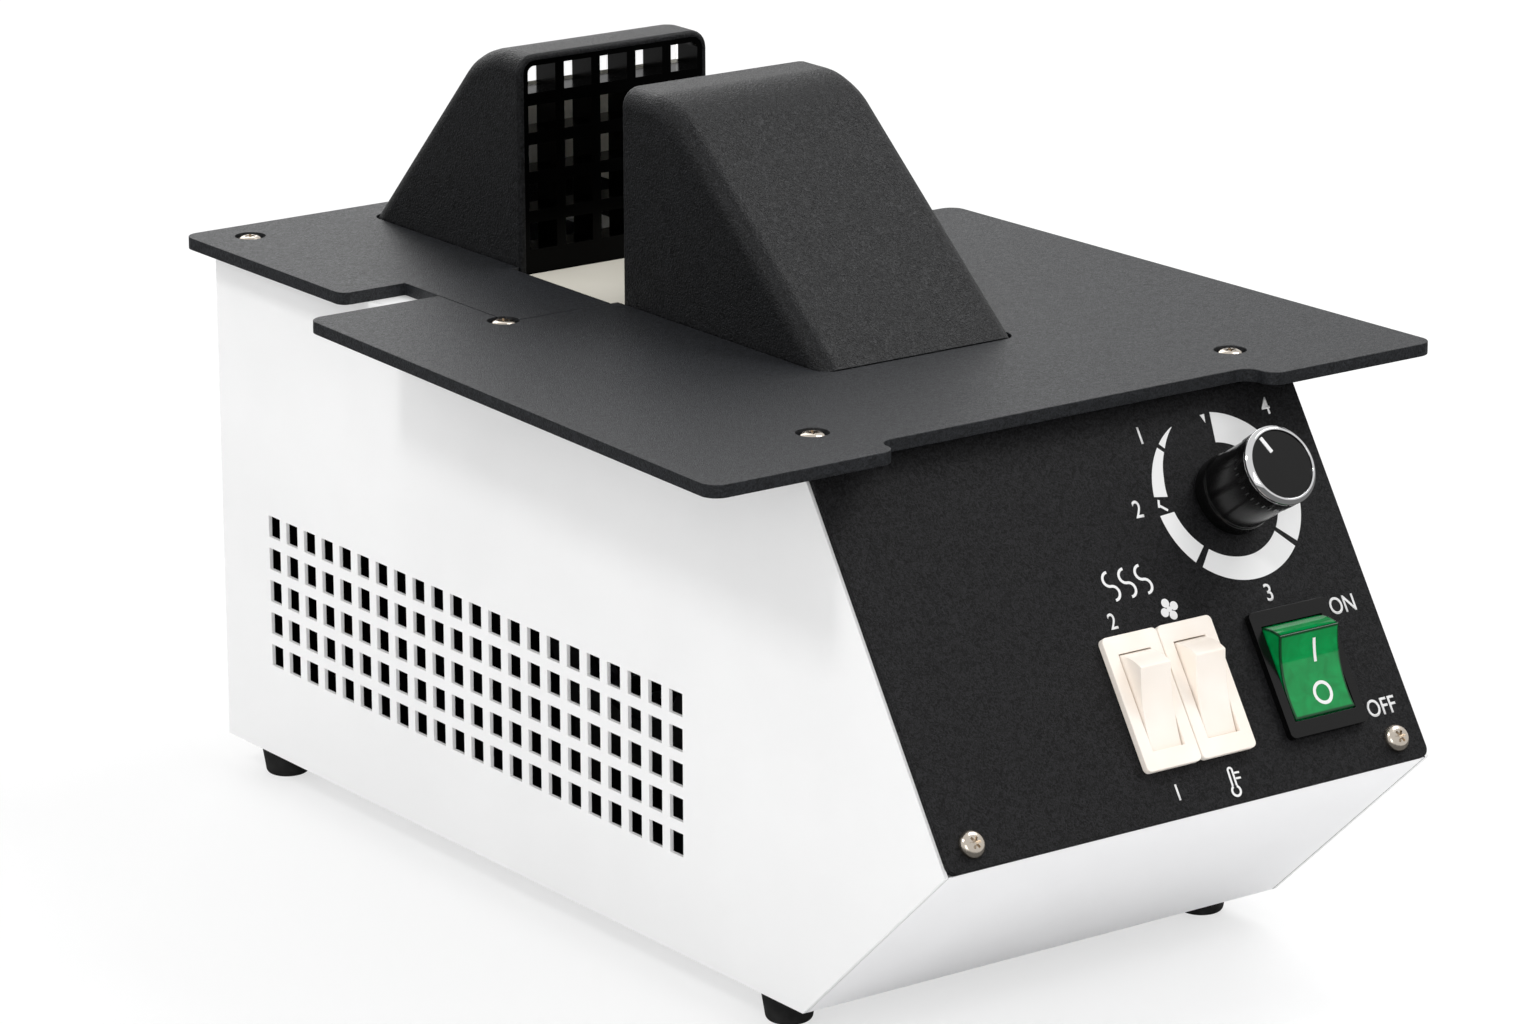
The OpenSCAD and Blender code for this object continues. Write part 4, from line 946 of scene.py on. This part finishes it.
@dataclass
class PanelPrint:
    """Everything printed on the control panel: the dial band, plain numbers, signs and switch words."""

    words: tuple[Lettering, ...] = (
        Lettering("dial_number_1", "1", 22.6, 93.6),
        Lettering("dial_number_2", "2", 14.2, 75.8),
        Lettering("dial_number_3", "3", 43.8, 48.6),
        Lettering("dial_number_4", "4", 63.0, 94.6),
        Lettering("heat_high_number", "2", -4.6, 50.2, 4.2),
        Lettering("heat_low_number", "1", -3.4, 6.2, 4.2),
        Lettering("power_on_word", "ON", 64.4, 41.6, 4.5),
        Lettering("power_off_word", "OFF", 65.0, 14.6, 4.5),
    )
    hair_mm: float = 0.002

    def ticks(self, press: PanelPress) -> None:
        """Print the start wedge above the knob and the arrowhead in the dial's left gap."""
        wedge = bmesh.new()
        half_turn = Matrix.Rotation(math.pi, 4, "Z")
        bmesh.ops.create_circle(wedge, cap_ends=True, segments=3, radius=1.3, matrix=half_turn)
        bmesh.ops.scale(wedge, vec=(0.62, 1.15, 1), verts=wedge.verts)
        press.lay("dial_start_wedge", wedge, 43.2, 94.9, turn=4.0)
        arrow = bmesh.new()
        stroke(arrow, 0.62, 2.4, 0.72, -0.55, turn=52.0)
        stroke(arrow, 0.62, 2.0, -0.35, 0.75, turn=-18.0)
        press.lay("dial_arrow", arrow, 21.3, 75.2)

    def fan_sign(self, press: PanelPress) -> None:
        """Print four round blades on a hub."""
        mesh = bmesh.new()
        for turn in range(0, 360, 90):
            a = math.radians(turn + 20)
            disc(mesh, 1.15, 1.75 * math.cos(a), 1.75 * math.sin(a))
        disc(mesh, 0.75, 0.0, 0.0)
        self.layer(mesh)
        press.lay("fan_sign", mesh, 13.0, 50.0)

    def thermometer_sign(self, press: PanelPress) -> None:
        """Print a ring for the bulb, two lines for the stem and two short marks."""
        mesh = bmesh.new()
        ring(mesh, 0.95, 1.55, 0.0, -2.1, start=115.0, sweep=310.0)
        for side in (-1, 1):
            stroke(mesh, 0.55, 3.9, side * 0.62, 1.15)
        ring(mesh, 0.35, 0.9, 0.0, 3.1, sweep=180.0)
        for level in (2.3, 0.9):
            stroke(mesh, 1.5, 0.5, 1.75, level)
        self.layer(mesh)
        press.lay("thermometer_sign", mesh, 13.6, 5.2, turn=-2.0)

    def heat_sign(self, press: PanelPress) -> None:
        """Print three rising waves."""
        mesh = bmesh.new()
        for column in (-1, 0, 1):
            for half, start in ((1, 90.0), (-1, -90.0)):
                ring(mesh, 1.45, 2.15, column * 5.0, half * 1.8, start=start, sweep=180.0)
        self.layer(mesh)
        press.lay("heat_sign", mesh, 3.6, 58.6)

    def layer(self, mesh: Mesh) -> None:
        """Give each shape of a drawing its own hair of height, since they overlap.

        Args:
            mesh: the drawing in X and Y, in mm.
        """
        left = set(mesh.faces)
        level = 0
        while left:
            group, queue = set(), [left.pop()]
            while queue:
                face = queue.pop()
                group.update(face.verts)
                beside = {other for edge in face.edges for other in edge.link_faces} & left
                left -= beside
                queue += beside
            bmesh.ops.translate(mesh, verts=list(group), vec=(0, 0, self.hair_mm * level))
            level += 1

    def build(self, press: PanelPress) -> None:
        """Print all the marks."""
        DialBand().build(press)
        for word in self.words:
            word.build(press)
        for sign in (self.ticks, self.fan_sign, self.thermometer_sign, self.heat_sign):
            sign(press)


@dataclass
class RockerMarks:
    """The line and the ring printed on the two halves of the green rocker.

    Attributes:
        aside_mm, line_v_mm, ring_v_mm: their places to the right and up along the rocker.
        dash_mm, dashes: the line follows the hollow in this many short pieces.
        ring_mm: outer radius of the ring.
        sunk_mm, ink_mm: heights of the ink's two faces above the rocker's.
    """

    shape: RockerShape = field(default_factory=RockerShape.read)
    aside_mm: float = 1.5
    line_v_mm: float = 5.2
    ring_v_mm: float = -5.4
    bold_mm: float = 0.85
    dash_mm: float = 1.16
    dashes: int = 5
    ring_mm: float = 2.95
    sunk_mm: float = 0.005
    ink_mm: float = 0.05

    def bend(self, mesh: Mesh) -> None:
        """Lay a flat drawing on the hollow face, as ink of even thickness."""
        bmesh.ops.remove_doubles(mesh, verts=mesh.verts, dist=1e-3)
        tops = set(thicken(mesh))
        turned = self.shape.axes()
        for vert in mesh.verts:
            height = self.shape.height_mm(vert.co.y) + (self.ink_mm if vert in tops else self.sunk_mm)
            vert.co = self.shape.pivot + turned @ (Vector((vert.co.x, vert.co.y, height)) * MM)
        bmesh.ops.recalc_face_normals(mesh, faces=mesh.faces)

    def build(self, book: FinishBook) -> None:
        """Print both marks."""
        line, circle = bmesh.new(), bmesh.new()
        for step in range(self.dashes):
            along = self.line_v_mm + (step - self.dashes // 2) * self.dash_mm
            stroke(line, self.bold_mm, self.dash_mm, self.aside_mm, along)
        ring(circle, self.ring_mm - self.bold_mm, self.ring_mm, self.aside_mm, self.ring_v_mm)
        for name, mesh in (("rocker_on_line", line), ("rocker_off_ring", circle)):
            self.bend(mesh)
            piece_from(name, mesh, book, Slot.INK, "power_key")


# ---- Sub-assemblies ----


@dataclass
class SheetCase:
    """The folded sheets of the case and the two top plates, with their edges deburred."""

    sheet_edge_mm: float = 0.25
    panel_edge_mm: float = 0.45
    plate_edge_mm: float = 0.7
    tray_edge_mm: float = 0.3

    def build(self, book: FinishBook) -> None:
        """Make the softened sheets."""
        for node in ("back_panel", "left_side_panel", "right_side_panel"):
            SoftenedCopy(node, Slot.CASE, self.sheet_edge_mm).build(book)
        SoftenedCopy("control_panel", Slot.PANEL, self.panel_edge_mm).build(book)
        for node in ("front_top_plate", "rear_top_plate"):
            SoftenedCopy(node, Slot.PLATE, self.plate_edge_mm, segments=4).build(book)
        SoftenedCopy("well_tray", Slot.TRAY, self.tray_edge_mm).build(book)


@dataclass
class WarmingHoods:
    """The two hoods, their white linings and their grilles.

    The first four sizes are those of the linings, as HoodShell takes them.
    """

    inset_mm: float = 1.9
    wall_mm: float = 0.5
    start_mm: float = 10.5
    foot_mm: float = 11.0
    bar_edge_mm: float = 0.35

    def build(self, book: FinishBook) -> None:
        """Make the pressed hoods and linings and the softened grilles."""
        for side in ("front", "rear"):
            hood = side + "_hood"
            HoodShell(hood, hood, Slot.HOOD).build(book)
            HoodShell(hood, side + "_liner", Slot.LINER, self.inset_mm, self.wall_mm, self.start_mm,
                      self.foot_mm, mouth_edge_mm=0.0, lip_mm=LIP_REACH / MM).build(book)
        for node in ("front_grille", "rear_grille"):
            SoftenedCopy(node, Slot.GRILLE, self.bar_edge_mm, segments=2).build(book)


@dataclass
class ControlKnob:
    """The knob with its chrome ring and pointer."""

    body_edge_mm: float = 0.25
    ring_edge_mm: float = 0.12
    cap_edge_mm: float = 0.15

    def build(self, book: FinishBook) -> None:
        """Make the softened knob pieces."""
        SoftenedCopy("knob_body", Slot.BLACK, self.body_edge_mm, "knob").build(book)
        SoftenedCopy("knob_ring", Slot.CHROME, self.ring_edge_mm, "knob", sharp=25.0).build(book)
        SoftenedCopy("knob_cap", Slot.BLACK, self.cap_edge_mm, "knob").build(book)


@dataclass
class RockerSwitches:
    """The three switches: bezels, rockers and the marks on the lit one."""

    power_edge_mm: float = 0.7
    cream_edge_mm: float = 0.5

    def build(self, book: FinishBook) -> None:
        """Make the softened switches."""
        SoftenedCopy("power_switch_body", Slot.BLACK, self.power_edge_mm).build(book)
        for node in ("heat_switch_body", "fan_switch_body"):
            SoftenedCopy(node, Slot.CREAM, self.cream_edge_mm).build(book)
        SoftenedCopy("power_rocker", Slot.GREEN, self.power_edge_mm, "power_key").build(book)
        for node, body in (("heat_rocker", "heat_key"), ("fan_rocker", "fan_key")):
            SoftenedCopy(node, Slot.CREAM, self.cream_edge_mm, body).build(book)
        RockerMarks().build(book)


@dataclass
class Feet:
    """The rubber feet."""

    edge_mm: float = 0.3

    def build(self, book: FinishBook) -> None:
        """Make the softened feet."""
        SoftenedCopy("feet", Slot.RUBBER, self.edge_mm).build(book)


# ---- Studio ----


@dataclass
class Studio:
    """Camera, floor and light.

    Attributes:
        picture_wide, focal_px: width of the picture and focal length of the camera in its pixels.
        yaw, pitch, roll, spot: the camera's turns in degrees, and its place.
        floor_tone, floor_dim: colour of the floor, and the one that glossy surfaces mirror.
        floor_glow: share of plain white where the floor is seen straight.
        sky: strength of the sky where it only lights the object.
        lamps: name, place, width and watts of each soft box; they face aim.
    """

    picture_wide: int = 1536
    focal_px: float = 5974.7
    sensor_mm: float = 36.0
    yaw: float = -35.922
    pitch: float = 16.280
    roll: float = -0.163
    spot: tuple[float, float, float] = (-0.87326, -1.19496, 0.52929)
    floor_half: float = 6.0
    floor_tone: str = "#fafafa"
    floor_dim: str = "#6a6a6a"
    floor_glow: float = 0.62
    sky: float = 0.71
    lamps: tuple[tuple[str, tuple[float, float, float], float, float], ...] = (
        ("key_soft_box", (-1.34, -0.1, 1.7), 0.3, 9.0),
        ("fill_soft_box", (-1.1, -1.5, 0.7), 0.7, 4.0),
        ("top_soft_box", (1.0, -0.25, 1.6), 0.9, 12.5),
        ("back_soft_box", (0.6, 1.9, 1.3), 1.4, 10.0),
    )
    aim: tuple[float, float, float] = (0, 0, 0.08)

    def camera(self) -> None:
        """Place the camera where the photograph was taken from."""
        data = bpy.data.cameras.new("camera")
        data.sensor_fit = "HORIZONTAL"
        data.sensor_width = self.sensor_mm
        data.lens = self.focal_px / self.picture_wide * self.sensor_mm
        data.clip_end = 50.0
        camera = link("camera", data)
        place = Matrix.Translation(self.spot)
        for degrees, axis in ((self.yaw, "Z"), (90 - self.pitch, "X"), (self.roll, "Z")):
            place = place @ Matrix.Rotation(math.radians(degrees), 4, axis)
        camera.matrix_world = place
        bpy.context.scene.camera = camera

    def clean_tree(self, owner: bpy.types.Material | bpy.types.World) -> tuple[Tree, bpy.types.Node]:
        """Empty the node tree of a material or a world and start it with the kinds of light path."""
        owner.use_nodes = True
        owner.node_tree.nodes.clear()
        return owner.node_tree, add(owner.node_tree, "ShaderNodeLightPath")

    def floor(self) -> None:
        """Lay the pale floor. Seen straight it is nearly white and keeps a soft shadow.

        In the object's black surfaces it mirrors dim, as if dark cards stood round the table.
        """
        mesh = bmesh.new()
        bmesh.ops.create_grid(mesh, x_segments=1, y_segments=1, size=self.floor_half)
        floor = from_bmesh("floor", mesh)
        material = bpy.data.materials.new("pale_studio_floor")
        tree, path = self.clean_tree(material)
        dim = add(tree, "ShaderNodeMix", {0: path.outputs["Is Glossy Ray"], 6: linear(self.floor_tone),
                                          7: linear(self.floor_dim)}, data_type="RGBA")
        matt = add(tree, "ShaderNodeBsdfDiffuse", {"Color": dim.outputs[2]})
        white = add(tree, "ShaderNodeEmission", {"Color": (1, 1, 1, 1), "Strength": 1.0})
        share = add(tree, "ShaderNodeMath", {0: path.outputs["Is Camera Ray"], 1: self.floor_glow},
                    operation="MULTIPLY")
        both = add(tree, "ShaderNodeMixShader", {0: share.outputs[0], 1: matt.outputs[0],
                                                 2: white.outputs[0]})
        add(tree, "ShaderNodeOutputMaterial", {"Surface": both.outputs[0]})
        floor.data.materials.append(material)

    def world(self) -> None:
        """Surround the object with an even pale sky, white where it is seen straight."""
        world = bpy.data.worlds.new("studio")
        bpy.context.scene.world = world
        tree, path = self.clean_tree(world)
        level = add(tree, "ShaderNodeMapRange", {"Value": path.outputs["Is Camera Ray"], "To Min": self.sky})
        sky = add(tree, "ShaderNodeBackground", {"Color": (1, 1, 1, 1), "Strength": level.outputs["Result"]})
        add(tree, "ShaderNodeOutputWorld", {"Surface": sky.outputs[0]})

    def lamp(self, name: str, spot: Vector, size: float, power: float) -> None:
        """Hang a square soft box that faces the object."""
        data = bpy.data.lights.new(name, "AREA")
        data.shape = "SQUARE"
        data.size = size
        data.energy = power
        turn = (Vector(self.aim) - spot).to_track_quat("-Z", "Y")
        link(name, data).matrix_world = Matrix.Translation(spot) @ turn.to_matrix().to_4x4()

    def build(self) -> None:
        """Set up the camera, the floor and the lights."""
        bpy.context.scene.view_settings.view_transform = "Standard"
        self.camera()
        self.floor()
        self.world()
        for name, spot, size, power in self.lamps:
            self.lamp(name, Vector(spot), size, power)


def main() -> None:
    """Build the studio and every sub-assembly in order."""
    logging.basicConfig(level=logging.INFO, format="%(message)s")
    Studio().build()
    book = FinishBook()
    book.dress_nodes()
    press = PanelPress(book)
    for assembly in (SheetCase(), WarmingHoods(), ControlKnob(), RockerSwitches(), Feet()):
        assembly.build(book)
        log.info("built %s", type(assembly).__name__)
    PanelPrint().build(press)
    log.info("printed the control panel")


if __name__ == "__main__":
    main()
